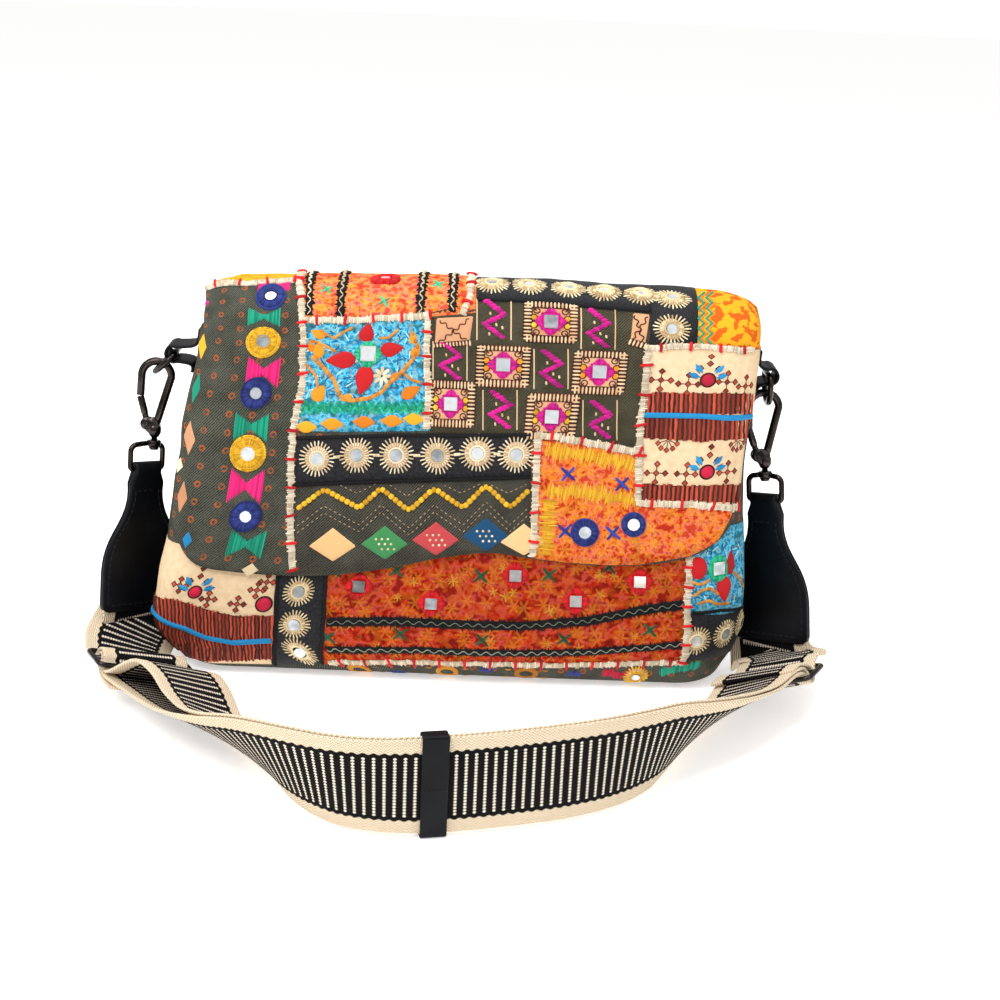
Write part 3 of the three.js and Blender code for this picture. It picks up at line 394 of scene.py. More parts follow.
class Paint:
    """A material being built: each call adds a node and returns its output socket."""

    def __init__(self, name, roughness=0.9, metallic=0.0, sheen=0.0, specular=0.12):
        self.material = bpy.data.materials.new(name)
        self.material.use_nodes = True
        self.tree = self.material.node_tree
        self.shader = self.tree.nodes["Principled BSDF"]
        self.set("Roughness", roughness)
        self.set("Metallic", metallic)
        self.set("Sheen Weight", sheen)
        self.set("Specular IOR Level", specular)

    def set(self, key, value):
        self.shader.inputs[key].default_value = value

    def node(self, kind, inputs=(), output=0, **settings):
        node = self.tree.nodes.new(kind)
        for key, value in settings.items():
            setattr(node, key, value)
        for key, value in dict(inputs).items():
            if isinstance(value, bpy.types.NodeSocket):
                self.tree.links.new(value, node.inputs[key])
            else:
                node.inputs[key].default_value = value
        return node.outputs[output]

    def split(self, vector):
        parts = self.tree.nodes.new("ShaderNodeSeparateXYZ")
        self.tree.links.new(vector, parts.inputs[0])
        return parts.outputs[0], parts.outputs[1]

    def uv(self):
        """Cloth millimetres: the whole vector, across and down."""
        metres = self.node("ShaderNodeUVMap", uv_map="cloth")
        vector = self.node("ShaderNodeVectorMath", {0: metres, 3: 1 / MM}, operation="SCALE")
        return vector, *self.split(vector)

    def math(self, operation, *values):
        return self.node("ShaderNodeMath", dict(enumerate(values)), operation=operation)

    def times(self, first, second):
        return self.math("MULTIPLY", first, second)

    def scaled(self, value, factor, added):
        return self.math("MULTIPLY_ADD", value, factor, added)

    def wave(self, value, pitch, kind="SINE"):
        return self.math(kind, self.times(value, 2 * math.pi / pitch))

    def noise(self, vector, scale, detail=3.0):
        return self.node("ShaderNodeTexNoise", {"Vector": vector, "Scale": scale, "Detail": detail})

    def ramp(self, factor, stops):
        ramp = self.tree.nodes.new("ShaderNodeValToRGB")
        elements = ramp.color_ramp.elements
        while len(elements) < len(stops):
            elements.new(0.5)
        for element, (place, shade) in zip(elements, stops):
            element.position = place
            element.color = colour(shade)
        self.tree.links.new(factor, ramp.inputs[0])
        return ramp.outputs[0]

    def mix(self, factor, first, second):
        shades = [colour(v) if isinstance(v, str) else v for v in (first, second)]
        return self.node("ShaderNodeMix", {0: factor, 6: shades[0], 7: shades[1]}, 2, data_type="RGBA")

    def ranged(self, value, low, high):
        """0 at the low value and 1 at the high one."""
        return self.node("ShaderNodeMapRange", {"Value": value, "From Min": low, "From Max": high})

    def band(self, value, low, high, soft=0.15):
        """1 where the value lies between two limits, with soft ends."""
        rise = self.ranged(value, low - soft, low + soft)
        return self.times(rise, self.ranged(value, high + soft, high - soft))

    def repeat(self, value, pitch):
        """Distance from the middle of the nearest repeat."""
        wrapped = self.math("WRAP", value, pitch, 0.0)
        return self.math("ABSOLUTE", self.math("SUBTRACT", wrapped, pitch / 2))

    def weave(self, across, down, pitch, slope=1.0):
        """Height of a twill: raised diagonal threads."""
        return self.wave(self.math("ADD", across, self.times(down, slope)), pitch)

    def done(self, shade, height=None, strength=0.4, distance=0.3):
        if isinstance(shade, str):
            self.set("Base Color", colour(shade))
        else:
            self.tree.links.new(shade, self.shader.inputs["Base Color"])
        if height is not None:
            relief = {"Height": height, "Strength": strength, "Distance": distance * MM}
            self.tree.links.new(self.node("ShaderNodeBump", relief), self.shader.inputs["Normal"])
        return self.material


# Cloth patterns, in millimetres: the twill's diagonals, its ring spots and the stars of the dyed cloth.
TWILL_PITCH, TWILL_SLOPE = 1.5, 0.8
SPOT_ACROSS, SPOT_DOWN, SPOT_INNER, SPOT_OUTER = 13.0, 10.0, 0.9, 1.9
STAR_CELLS, STAR_CORE, STAR_RAY, STAR_SOFT, STAR_STRENGTH = 0.1, 1.0, 3.6, 0.6, 0.36
DYE_PLACES = (0.42, 0.47, 0.51, 0.55, 0.6)
PANEL_PLACES = (0.41, 0.46, 0.5, 0.54, 0.6)
WORN_SHADE = "3c1a10"


def twill(name, dark, light, spots=None):
    """Dark diagonal cloth, with printed ring spots if a shade is given."""
    paint = Paint(name, 0.95)
    vector, across, down = paint.uv()
    thread_height = paint.weave(across, down, TWILL_PITCH, TWILL_SLOPE)
    grain = paint.noise(vector, 1.3, 4.0)
    mixed = paint.scaled(thread_height, 0.2, paint.scaled(paint.noise(vector, 0.07), 0.5, grain))
    shade = paint.ramp(mixed, [(0.52, dark), (1.0, light)])
    if spots:
        runs = (across, SPOT_ACROSS), (down, SPOT_DOWN)
        squares = [paint.math("POWER", paint.repeat(value, pitch), 2.0) for value, pitch in runs]
        ring = paint.math("SQRT", paint.math("ADD", *squares))
        print_band = paint.band(ring, SPOT_INNER, SPOT_OUTER)
        worn = paint.times(print_band, paint.band(paint.noise(vector, 0.35), 0.42, 2.0))
        shade = paint.mix(worn, shade, spots)
    crease = paint.noise(vector, 0.055, 2.0)
    height = paint.scaled(crease, 16.0, paint.times(thread_height, 0.6))
    return paint.done(shade, height, strength=0.4, distance=0.4)


def printed_stars(paint, vector, shade, star):
    """Faint six-rayed stars over a shade, one in each cell of the cloth."""
    cell = paint.node("ShaderNodeTexVoronoi", {"Vector": vector, "Scale": STAR_CELLS}, "Position",
                      voronoi_dimensions="2D")
    away = paint.node("ShaderNodeVectorMath", {0: vector, 1: cell}, operation="SUBTRACT")
    x, y = paint.split(away)
    turn = paint.times(paint.math("ARCTAN2", y, x), 3.0)
    ray = paint.math("POWER", paint.math("ABSOLUTE", paint.math("COSINE", turn)), 2.5)
    reach = paint.scaled(ray, STAR_RAY, STAR_CORE)
    length = paint.node("ShaderNodeVectorMath", {0: away}, "Value", operation="LENGTH")
    inside = paint.band(paint.math("SUBTRACT", reach, length), 0.0, 9.0, STAR_SOFT)
    return paint.mix(paint.times(inside, STAR_STRENGTH), shade, star)


def dyed(name, shades, flecks, scale=0.07, star=None, places=DYE_PLACES):
    """Hand-dyed cloth: blotches of colour under pale flecks, with faint stars if their shade is given."""
    paint = Paint(name, 0.9)
    vector, _, _ = paint.uv()
    fine = paint.noise(vector, scale * 4, 3.0)
    blotch = paint.scaled(fine, 0.5, paint.times(paint.noise(vector, scale, 2.0), 0.54))
    shade = paint.ramp(blotch, list(zip(places, shades.split())))
    fleck = paint.band(paint.noise(vector, scale * 3.2, 3.0), 0.56, 2.0, 0.05)
    shade = paint.mix(paint.times(fleck, 0.5), shade, flecks)
    if star:
        shade = printed_stars(paint, vector, shade, star)
    grain = paint.noise(vector, 1.6, 2.0)
    worn = paint.band(grain, -1.0, 0.44, 0.06)
    shade = paint.mix(paint.times(worn, 0.35), shade, WORN_SHADE)
    return paint.done(shade, paint.noise(vector, 0.9, 3.0), strength=0.6, distance=0.6)


def canvas(name, light, dark):
    paint = Paint(name, 0.95)
    vector, across, down = paint.uv()
    weave = paint.times(paint.weave(across, down, 1.0, 0.0), paint.weave(down, across, 1.0, 0.0))
    shade = paint.ramp(paint.noise(vector, 0.25, 5.0), [(0.3, dark), (0.6, light)])
    return paint.done(shade, weave, strength=0.25, distance=0.2)


def spotted(name, ground, spot):
    paint = Paint(name, 0.9)
    vector, _, _ = paint.uv()
    shade = paint.ramp(paint.noise(vector, 0.16, 1.0), [(0.505, ground), (0.545, spot)])
    return paint.done(shade, paint.noise(vector, 2.5), strength=0.3, distance=0.3)


def ribbed(name, dark, light):
    """Ribbon: fine ribs across its run."""
    paint = Paint(name, 0.7, sheen=0.06, specular=0.2)
    vector, across, down = paint.uv()
    rib = paint.weave(across, down, 0.9, 0.15)
    mixed = paint.scaled(rib, 0.15, paint.noise(vector, 0.6, 4.0))
    return paint.done(paint.ramp(mixed, [(0.35, dark), (0.8, light)]), mixed, strength=0.5, distance=0.4)


def thread(name, dark, light, roughness=0.6):
    """Embroidery thread: each stitch has its own tone, with fine strands along it."""
    paint = Paint(name, roughness, specular=0.25)
    vector, _, _ = paint.uv()
    strand = paint.noise(vector, 2.6, 3.0)
    own = paint.node("ShaderNodeNewGeometry", output="Random Per Island")
    tone = paint.scaled(own, 0.5, paint.times(strand, 0.6))
    return paint.done(paint.ramp(tone, [(0.22, dark), (0.72, light)]), strand, strength=0.5, distance=0.25)


CLOTHS = {
    "charcoal": twill("charcoal_twill", "24251f", "5c5d52", "a4552e"),
    "slate": twill("slate_twill", "242420", "56544a"),
    "olive": twill("olive_twill", "25231a", "56513f"),
    "dyed": dyed("dyed_coral", "c83c28 e8643c f09038 ea7e70 d24c36", "f2b63c"),
    "orange": dyed("dyed_orange", "b42c1a dc5226 ee7f28 e07060 c83e26", "ee9c2c", 0.075, "f2a634"),
    "panel": dyed("dyed_panel", "780f08 a81b0b ba390d c24a3a 8c160b", "c05c12", 0.05, "d88c20",
                  PANEL_PLACES),
    "turquoise": dyed("dyed_turquoise", "2a6a74 1a8cba 34aeda 78cee4 2684a8", "8fb0aa", 0.08),
    "cream": canvas("cream_canvas", "e6cba6", "dabb95"),
    "brick": canvas("brick_canvas", "7c3022", "55201a"),
    "yellow": spotted("yellow_print", "eaa421", "cf5c18"),
    "gold": canvas("gold_canvas", "e6a828", "c8861a"),
    "ribbon": ribbed("black_ribbon", "0f0f12", "2c2c31"),
}
# Threads: dark shade, light shade, roughness if it isn't the usual one.
THREAD_SHADES = {
    "beige": ("a8957a", "e6dac4", 0.85), "red": ("90090f", "d8181e"), "crimson": ("7c0a1e", "c4163c"),
    "magenta": ("8a0560", "d0148a"), "pink": ("b50652", "ee2a82"), "teal": ("066350", "159f7e"),
    "green": ("06301e", "125534"), "mint": ("0c7a58", "2cc08c"), "yellow": ("b07a0a", "edbc2e"),
    "amber": ("c07a0c", "f0b428"), "orange": ("c8680c", "f2941a"), "gold": ("a08250", "eeddb2", 0.5),
    "cream": ("b99f74", "efdfbe", 0.75), "peach": ("b87c56", "dca982", 0.85),
    "navy": ("101741", "2d3c8a"), "blue": ("16236e", "3346a6"), "sky": ("0a6ca0", "1e92cc"),
    "brown": ("26130d", "50291b", 0.85), "brick": ("581a18", "c8523c", 0.8),
    "black": ("040405", "141316", 0.8), "print_red": ("96262e", "c0474a", 0.9),
    "print_green": ("2a6c3e", "4c9a5e", 0.9), "print_blue": ("123f63", "2a648e", 0.9),
    "print_peach": ("d9a066", "eec48c", 0.9), "vine": ("a0601c", "d8913a"),
    "pale": ("5cacca", "b4e0ec", 0.7), "star": ("9a5a14", "c98a2c", 0.9),
    "rung": ("c49c74", "e4c6a0", 0.9), "tan": ("9a7a5c", "c9a888", 0.85), "sage": ("666f60", "a0a892", 0.7),
}
THREADS = {name: thread(name + "_thread", *row) for name, row in THREAD_SHADES.items()}


# Needlework, drawn flat on a cloth and then laid on its surface.
# Forms: place along a stitch and its swell there; sections: place across and share of the height.
STITCH_FORM = [(0.0, 0.3), (0.14, 0.85), (0.5, 1.0), (0.86, 0.85), (1.0, 0.3)]
STITCH_SECTION = [(-1.0, -0.2), (-0.55, 0.8), (0.55, 0.8), (1.0, -0.2)]
STITCH_FACES = band_faces(len(STITCH_FORM), len(STITCH_SECTION))
ROUND = [(-1.0, -0.25), (-0.78, 0.62), (0.0, 1.0), (0.78, 0.62), (1.0, -0.25)]
FLAT = [(-1.0, -0.4), (-0.97, 0.9), (-0.4, 1.0), (0.4, 1.0), (0.97, 0.9), (1.0, -0.4)]
# Rings of a filled shape: share of its size, share of its crown.
FILL_FORM = [(0.94, 0.0), (0.72, 0.45), (0.46, 0.8)]
FILL_TUCK, FILL_LONG_SIDE, FILL_PITCH = 0.2, 3, 1.5
PATCH_CELL, PATCH_LEAST, PATCH_TUCK, PATCH_INSET = 3.0, 4, 0.3, 0.3
LINE_PITCH = 2
TINY, SHORTEST = 1e-9, 1e-6
CLOTH_MARK = "cloth_"


def resample(path, pitch):
    """Points a pitch apart along a path, and the directions there."""
    path = np.asarray(path, float)
    gone = np.r_[0, np.cumsum(step_lengths(path))]
    count = max(int(round(gone[-1] / pitch)), 1)
    at = np.linspace(0, gone[-1], count + 1)
    points = np.stack([np.interp(at, gone, path[:, k]) for k in (0, 1)], -1)
    along = np.gradient(points, axis=0)
    return points, along / np.maximum(np.hypot(*along.T), TINY)[:, None]


def circle(middle, radius, count=28, squash=1.0):
    turn = np.linspace(0, 2 * np.pi, count, endpoint=False)
    return np.asarray(middle) + np.stack([radius * np.cos(turn), -radius * squash * np.sin(turn)], -1)


def polar(degrees, radius):
    return np.array([math.cos(math.radians(degrees)), -math.sin(math.radians(degrees))]) * radius


class Needlework:
    """Raised work in cloth coordinates, gathered for one piece."""

    def __init__(self, cloth):
        self.cloth = cloth
        self.spot, self.spots = cloth.spot, cloth.spots
        self.flat, self.faces, self.shades = [], [], []
        self.count = 0

    def add(self, flat, faces, shade):
        self.flat.append(np.asarray(flat, float))
        self.faces += [[i + self.count for i in face] for face in faces]
        self.shades += [shade] * len(faces)
        self.count += len(flat)

    def sew(self, name):
        flat = np.concatenate(self.flat)
        points = self.cloth.surface(*flat.T)
        used = sorted(set(self.shades))
        materials = [THREADS[u] if u in THREADS else CLOTHS[u.removeprefix(CLOTH_MARK)] for u in used]
        marks = [used.index(shade) for shade in self.shades]
        return piece(name, points, self.faces, materials, marks, flat[:, :2])

    def stitch(self, a, b, shade, width=1.1, height=0.7, lift=0.0):
        a, b = np.asarray(a, float), np.asarray(b, float)
        along = b - a
        side = left_of(along) / max(np.hypot(*along), SHORTEST) * width / 2
        flat = [(*(a + along * t + side * swell * reach), lift + height * swell * up)
                for t, swell in STITCH_FORM for reach, up in STITCH_SECTION]
        self.add(flat, STITCH_FACES, shade)

    def ray(self, spot, turn, inner, outer, *look):
        """A stitch out from a spot, between two radii."""
        self.stitch(spot + polar(turn, inner), spot + polar(turn, outer), *look)

    def ridge(self, path, shade, width, height=0.8, closed=False, section=ROUND):
        path = np.asarray(path, float)
        along = heading(path, closed)
        sides = left_of(along / np.maximum(np.hypot(*along.T), TINY)[:, None]) * width / 2
        flat = [(*(m + s * reach), height * lift) for m, s in zip(path, sides) for reach, lift in section]
        self.add(flat, band_faces(len(path), len(section), closed), shade)

    def line(self, path, shade, width, height, section=ROUND):
        self.ridge(resample(path, LINE_PITCH)[0], shade, width, height, section=section)

    def fringe(self, path, shade, width, jitter=0.5, pitch=1.0, height=0.8, lift=0.0):
        """A band of stitches side by side across a path."""
        for p, t in zip(*resample(path, pitch)):
            side = left_of(t) * width / 2
            first, second = [1 + RANDOM.uniform(-jitter, jitter) / width * 2 for _ in range(2)]
            self.stitch(p - side * first, p + side * second, shade, pitch * 1.2, height, lift)

    def chain(self, path, shade, width, pitch, height=1.0, lift=0.0, overlap=0.12):
        """Chunky stitches end to end along a path."""
        points, _ = resample(path, pitch)
        for a, b in zip(points[:-1], points[1:]):
            self.stitch(a + (a - b) * overlap, b + (b - a) * overlap, shade, width, height, lift)

    def fill(self, outline, shade, height=0.5, crown=0.0):
        """A filled shape, its middle raised by the crown."""
        outline = np.asarray(outline, float)
        middle = outline.mean(0)
        if np.cross(outline[1] - outline[0], outline[2] - outline[1]) > 0:
            outline = outline[::-1]
        loop = np.vstack([outline, outline[:1]])
        if step_lengths(loop).max() > FILL_LONG_SIDE:
            outline = resample(loop, FILL_PITCH)[0][:-1]
        n = len(outline)
        rings = [(1.0, -FILL_TUCK), *[(size, height + crown * share) for size, share in FILL_FORM]]
        flat = [(*(middle + (p - middle) * size), h) for size, h in rings for p in outline]
        flat.append((*middle, height + crown))
        inner = (len(rings) - 1) * n
        faces = band_faces(len(rings), n, ring=True)
        faces += [(inner + i, inner + (i + 1) % n, inner + n) for i in range(n)]
        self.add(flat, faces, shade)

    def cross(self, spot, size, shade, turn, width):
        for k in (0, 90):
            reach = polar(turn + k, size / 2)
            self.stitch(spot - reach, spot + reach, shade, width, 0.8 + k / 300)

    def patch(self, edges, cloth, lift, grow=(0, 0, 0, 0)):
        """A cloth patch over edges from top to bottom; grow: millimetres at left, top, right, bottom."""
        left, up, right, low = grow
        shifts = [-up] + [0] * (len(edges) - 2) + [low]
        edges = [np.array(edge, float) + (0, shift) for edge, shift in zip(edges, shifts)]
        edges = [np.vstack([edge[0] - (left, 0), edge, edge[-1] + (right, 0)]) for edge in edges]
        if self.cloth.limits:
            edges = [self.cloth.limits(edge) for edge in edges]
        lengths = [step_lengths(edge).sum() for edge in edges]
        columns = max(int(max(lengths) / PATCH_CELL), PATCH_LEAST)
        edges = [resample(edge, length / columns)[0] for edge, length in zip(edges, lengths)]
        edges = np.array([edge[: columns + 1] for edge in edges])
        tall = np.hypot(*(edges[-1] - edges[0]).T).max()
        rows = max(int(tall / PATCH_CELL), PATCH_LEAST)
        at = np.linspace(0, len(edges) - 1, rows + 1)
        first = np.minimum(at.astype(int), len(edges) - 2)
        share = (at - first)[:, None, None]
        grid = edges[first] * (1 - share) + edges[first + 1] * share
        height = np.full(grid.shape[:2], lift)
        height[[0, -1], :] = -PATCH_TUCK
        height[:, [0, -1]] = -PATCH_TUCK
        inset = PATCH_INSET / rows
        for lines in (grid, grid.swapaxes(0, 1)):
            for edge, near in ((0, 1), (-1, -2)):
                lines[near] = lines[edge] + (lines[near] - lines[edge]) * inset
        flat = grid.reshape(-1, 2)
        if self.cloth.limits:
            flat = self.cloth.limits(flat)
        faces = band_faces(*grid.shape[:2], flip=True)
        self.add(np.column_stack([flat, height.ravel()]), faces, CLOTH_MARK + cloth)


# Stage, in metres.
STAGE_SHADE = "fbfaf9"
FLOOR_REACH, FLOOR_GLOW = 60.0, 0.48
WALL_REACH, WALL_TALL, WALL_SIDES, WALL_GLOW = 8.0, 6.0, 48, 1.0
# Lights: name, place, size, watts.
LIGHTS = [
    ("key", (-0.7, -0.9, 1.4), 0.8, 19),
    ("fill", (0.9, -1.0, 1.1), 1.2, 4),
    ("top", (0.0, 0.1, 1.6), 1.2, 16),
]
LIT = (0, -0.05, 0.1)
SKY_LIGHT = 0.52


def add_stage(name, points, faces, glow):
    paint = Paint("pale_" + name, 0.9)
    mesh = bpy.data.meshes.new(name)
    mesh.from_pydata(points, [], faces)
    paint.set("Emission Color", WHITE)
    paint.set("Emission Strength", glow)
    mesh.materials.append(paint.done(STAGE_SHADE))
    obj = add_object(name, mesh)
    return obj


def add_floor():
    corners = [(x * FLOOR_REACH, y * FLOOR_REACH, 0) for x, y in ((-1, -1), (1, -1), (1, 1), (-1, 1))]
    add_stage("floor", corners, [(0, 1, 2, 3)], FLOOR_GLOW)


def add_backdrop():
    """A pale wall far round the floor: it hides the horizon and gives no light."""
    turns = [2 * math.pi * k / WALL_SIDES for k in range(WALL_SIDES)]
    ring = [(WALL_REACH * math.cos(t), WALL_REACH * math.sin(t)) for t in turns]
    points = [(x, y, z) for z in (0.0, WALL_TALL) for x, y in ring]
    wall = add_stage("backdrop", points, band_faces(2, WALL_SIDES, ring=True), WALL_GLOW)
    wall.visible_diffuse = False
    wall.visible_glossy = False
    wall.visible_shadow = False


def add_lights():
    for name, place, size, watts in LIGHTS:
        data = bpy.data.lights.new(name, "AREA")
        data.size = size
        data.energy = watts
        light = add_object(name, data)
        light.location = place
        light.rotation_mode = "QUATERNION"
        light.rotation_quaternion = (Vector(LIT) - Vector(place)).to_track_quat("-Z", "Y")
    world = bpy.data.worlds.new("studio")
    world.use_nodes = True
    background = world.node_tree.nodes["Background"]
    background.inputs[0].default_value = WHITE
    background.inputs[1].default_value = SKY_LIGHT
    bpy.context.scene.world = world
    bpy.context.scene.view_settings.view_transform = "Standard"


add_camera()
FLAP_CLOTH = flap_cloth()
BODY_CLOTH = body_cloth()


def add_shell(name, node, cloth, bottom=()):
    """A cloth's own piece, with its thickness."""
    shell = piece(name, cloth.points, [*cloth.quads, *bottom], [CLOTHS["charcoal"]], None, cloth.flat)
    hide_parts(node)
    solid = shell.modifiers.new("thickness", "SOLIDIFY")
    solid.thickness = (CLOTH_THICK - CLOTH_GAP) * MM
    solid.offset = -1.0
    return shell


lowest_row = range(BODY_CLOTH.rows * BODY_CLOTH.columns)[-BODY_CLOTH.columns :]
shell = add_shell("body_cloth", "bag_body", BODY_CLOTH, [lowest_row[::-1]])
cover = add_shell("flap_cloth", "flap", FLAP_CLOTH)


# Motifs.
MIRROR_THICK = 0.9
SQUARE = [np.array(c) for c in ((-1, -1), (-1, 1), (1, 1), (1, -1))]
QUARTERS = (0, 90, 180, 270)


def seat(work, node):
    """Cloth coordinates under a mirror, and the height of its face."""
    spot, height = work.cloth.under("mirror_" + node)
    return spot, height + MIRROR_THICK / 2


def started(path, over):
    """A path with millimetres added above its start."""
    return np.vstack([path[0] - (0, over), path]) if over else path


def seam(work, pixels, over=0.0, wide=3.9, spacing=16.0):
    """A beige band of whipped stitches with red tacks; over: millimetres added at its start."""
    points, along = resample(started(work.spots(pixels), over), 6.0)
    sway = np.array([RANDOM.uniform(-0.5, 0.5) for _ in points])[:, None]
    path = points + left_of(along) * sway
    work.line(path, "beige", wide * 0.9, 0.8, FLAT)
    work.fringe(path, "beige", wide, jitter=0.9, pitch=1.15, height=1.0, lift=0.45)
    points, along = resample(path, spacing / 2)
    for p, t in list(zip(points, along))[1::2]:
        side = left_of(t) * RANDOM.uniform(3.0, 3.7) + t * RANDOM.uniform(-0.5, 0.5)
        work.stitch(p - side, p + side, "red", width=2.1, height=1.2, lift=0.9)


def sun(work, node, shade, inner, ring, reach, rays=26):
    """Thread rays round a mirror."""
    spot, face = seat(work, node)
    work.ridge(circle(spot, inner + 0.5), shade, 1.5, face + 0.3, True)
    # The tan ring under the inner stitches is partly a tan braid and partly painted shade, showing darker
    # in the gaps between the stitches.
    work.ridge(circle(spot, (inner + ring) / 2 + 0.4), "tan", ring - inner + 0.8, face * 0.7, True)
    for k in range(rays):
        turn = 360 * k / rays
        work.ray(spot, turn, inner + 0.6, ring + 0.4, shade, 1.1, face + 0.2)
        work.ray(spot, turn + 5, ring, reach * RANDOM.uniform(0.93, 1.05), shade, 1.2, 0.9)
    return spot


def suns(work, table):
    """Rows of suns; returns the places of the last row."""
    for name, count, *look in table:
        places = [sun(work, f"{name}_{k}", *look) for k in range(1, count + 1)]
    return places


def mirror_ring(work, node, shade, inner, wide, cord=0.0):
    """A padded thread ring round a mirror, with an outer cord."""
    spot, face = seat(work, node)
    work.ridge(circle(spot, inner + wide / 2), shade, wide, face + 0.2, True)
    for turn in range(0, 360, 6):
        work.ray(spot, turn, inner - 0.2, inner + wide + 0.2, shade, 0.9, face + 0.75)
    for reach in (inner + 0.3, inner + wide):
        work.ridge(circle(spot, reach, 36), shade, 1.1, face + (0.6 if reach < 5 else 0.1), True)
    if cord:
        reach = inner + wide + cord
        for turn in range(0, 360, 9):
            work.stitch(spot + polar(turn, reach), spot + polar(turn + 11, reach), shade, 1.7, 1.4)


def medallion(work, node, shade, radius, lobe=0.0, lobes=4, turn=0.0):
    """Satin stitches out from a square mirror to a lobed edge."""
    spot, face = seat(work, node)
    low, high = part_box("mirror_" + node)
    half = (high[0] - low[0]) / 2 / MM - 0.3
    bed = radius - lobe - 0.4
    work.ridge(circle(spot, (half + bed) / 2), shade, bed - half, face * 0.6, True, FLAT)
    for degrees in range(0, 360, 8):
        start = (half + 0.3) / max(abs(polar(degrees, 1.0)))
        reach = radius + lobe * math.cos(math.radians(lobes * (degrees - turn)))
        work.ray(spot, degrees, start, max(reach, start + 1.4), shade, 1.5, face + 0.3)
    work.ridge([spot + (half + 0.2) * c for c in SQUARE], shade, 1.2, face + 0.3, True)


def scatter(work, area, count, shades, wide=0.85):
    """Loose short stitches over an area, given in pixels: left, top, right, bottom."""
    left, top, right, bottom = area
    for k in range(count):
        spot = work.spot(RANDOM.uniform(left, right), RANDOM.uniform(top, bottom))
        reach = polar(RANDOM.uniform(0, 180), RANDOM.uniform(1.2, 2.6))
        work.stitch(spot - reach, spot + reach, shades[k % len(shades)], wide, height=0.3, lift=0.3)


def bow_tie(work, spot, shade, wide, tall):
    for x in np.arange(-wide / 2, wide / 2 + 0.1, 0.9):
        half = tall / 2 * (0.2 + 0.8 * abs(x) / (wide / 2))
        top, bottom = -half - RANDOM.random() * 0.5, half + RANDOM.random() * 0.5
        work.stitch(spot + (x, top), spot + (x, bottom), shade, 1.25, 0.6)


# Leaf outlines: place along the leaf, and half its width there.
DROP = [(-0.95, 0.25), (-0.6, 0.85), (-0.1, 1.0), (0.45, 0.62), (0.8, 0.24), (1.0, 0.0)]
LENS = [(-1.0, 0.04), (-0.7, 0.36), (-0.3, 0.85), (0.0, 1.0), (0.35, 0.8), (0.75, 0.34), (1.0, 0.0)]


def leaf(work, spot, turn, length, wide, shade, crown=0.7, form=DROP):
    """A leaf or petal, its tip in the direction turn."""
    along, side = polar(turn, length / 2), polar(turn + 90, wide / 2)
    outline = [spot + along * t + side * w for t, w in form]
    outline += [spot + along * t - side * w for t, w in form[-2::-1]]
    work.fill(outline, shade, 0.6, crown)


def leaves(work, table, *look):
    for px, py, turn, length, wide in table:
        leaf(work, work.spot(px, py), turn, length, wide, *look)


def diamond(spot, wide, tall):
    return [spot + (0, -tall / 2), spot + (-wide / 2, 0), spot + (0, tall / 2), spot + (wide / 2, 0)]


def wavy(path, reach, pitch):
    points, along = resample(path, pitch / 6)
    swing = reach * np.sin(np.arange(len(points)) * 2 * np.pi / 6)
    return points + left_of(along) * swing[:, None]


def ragged_band(work, pixels, wide=5.0, shade="cream", over=0.0):
    """A black whipped band with a wavy thread down its middle."""
    path = started(work.spots(pixels), over)
    work.line(path, "black", wide * 0.8, 0.8, FLAT)
    work.fringe(path, "black", wide, jitter=1.3, pitch=0.85, height=0.9, lift=0.2)
    work.ridge(wavy(path, reach=1.0, pitch=6.5), shade, width=0.55, height=1.5)


def cross_motif(work, spot, size=5.0):
    """Small outlined squares on crossed stems."""
    for turn in QUARTERS:
        work.stitch(spot, spot + polar(turn, size), "brown", 0.8, 0.5)
    for reach in [(0, 0)] + [polar(turn, size) for turn in QUARTERS]:
        shape = diamond(spot + reach, 3.3, 3.3)
        work.fill(shape, "brick", 0.4)
        work.ridge(shape, "brown", 0.75, 0.7, True)


def bead_flower(work, spot, size=3.4):
    """A crimson bead under blue leaves and small outlined squares."""
    work.fill(circle(spot, size + 1.1, 16), "brown", 0.5)
    work.fill(circle(spot, size, 16), "crimson", 1.0, 1.2)
    for turn, reach in ((18, 7.6), (50, 8.2), (130, 8.2), (162, 7.6)):
        leaf(work, spot + polar(turn, reach), turn, 7.0, 3.0, "sky", 0.4, LENS)
        ends = spot + polar(turn + 14, size + 1.6), spot + polar(turn + 10, size + 6.6)
        work.stitch(*ends, "print_blue", 0.8, 0.6)
    for reach in ((0, -9.5), (-4.6, -6.6), (4.6, -6.6), (0, -14)):
        work.ridge(diamond(spot + reach, 3.2, 3.2), "brown", 0.9, 0.7, True)
        work.fill(diamond(spot + reach, 2.4, 2.4), "brick", 0.5)


def between(work, upper, lower):
    """Cloth coordinates of edges from an upper to a lower one, given in pixels."""
    upper, lower = np.asarray(upper, float), np.asarray(lower, float)
    return [work.spots(upper + (lower - upper) * share) for share in (0, 0.25, 0.5, 0.75, 1)]


def stripes(work, top, bottom, count, before=0):
    """Upright brown and brick stitches between two edges in pixels; before: stripes added at the left."""
    upper, lower = [resample(e, step_lengths(e).sum() / count)[0] for e in (top, bottom)]
    edges = np.array(between(work, upper, lower))
    wide = np.hypot(*np.diff(edges, axis=1).T).mean()
    if before:
        out = np.arange(before, 0, -1)[:, None] * (-wide, 0)
        edges = np.concatenate([edges[:, :1] + out, edges], axis=1)
    work.patch(edges[:, ::6], "brick", 0.4)
    for k in range(edges.shape[1]):
        shade, share = ("brown", 0.95) if k % 2 else ("brick", 1.7)
        stripe = resample(edges[:, k] + [(0, RANDOM.uniform(-0.8, 0.8)) for _ in edges], 2.5)[0]
        stripe[1:-1, 0] += [RANDOM.uniform(-0.35, 0.35) for _ in stripe[1:-1]]
        work.ridge(stripe, shade, wide * share, 0.8 + 0.3 * (k % 2))


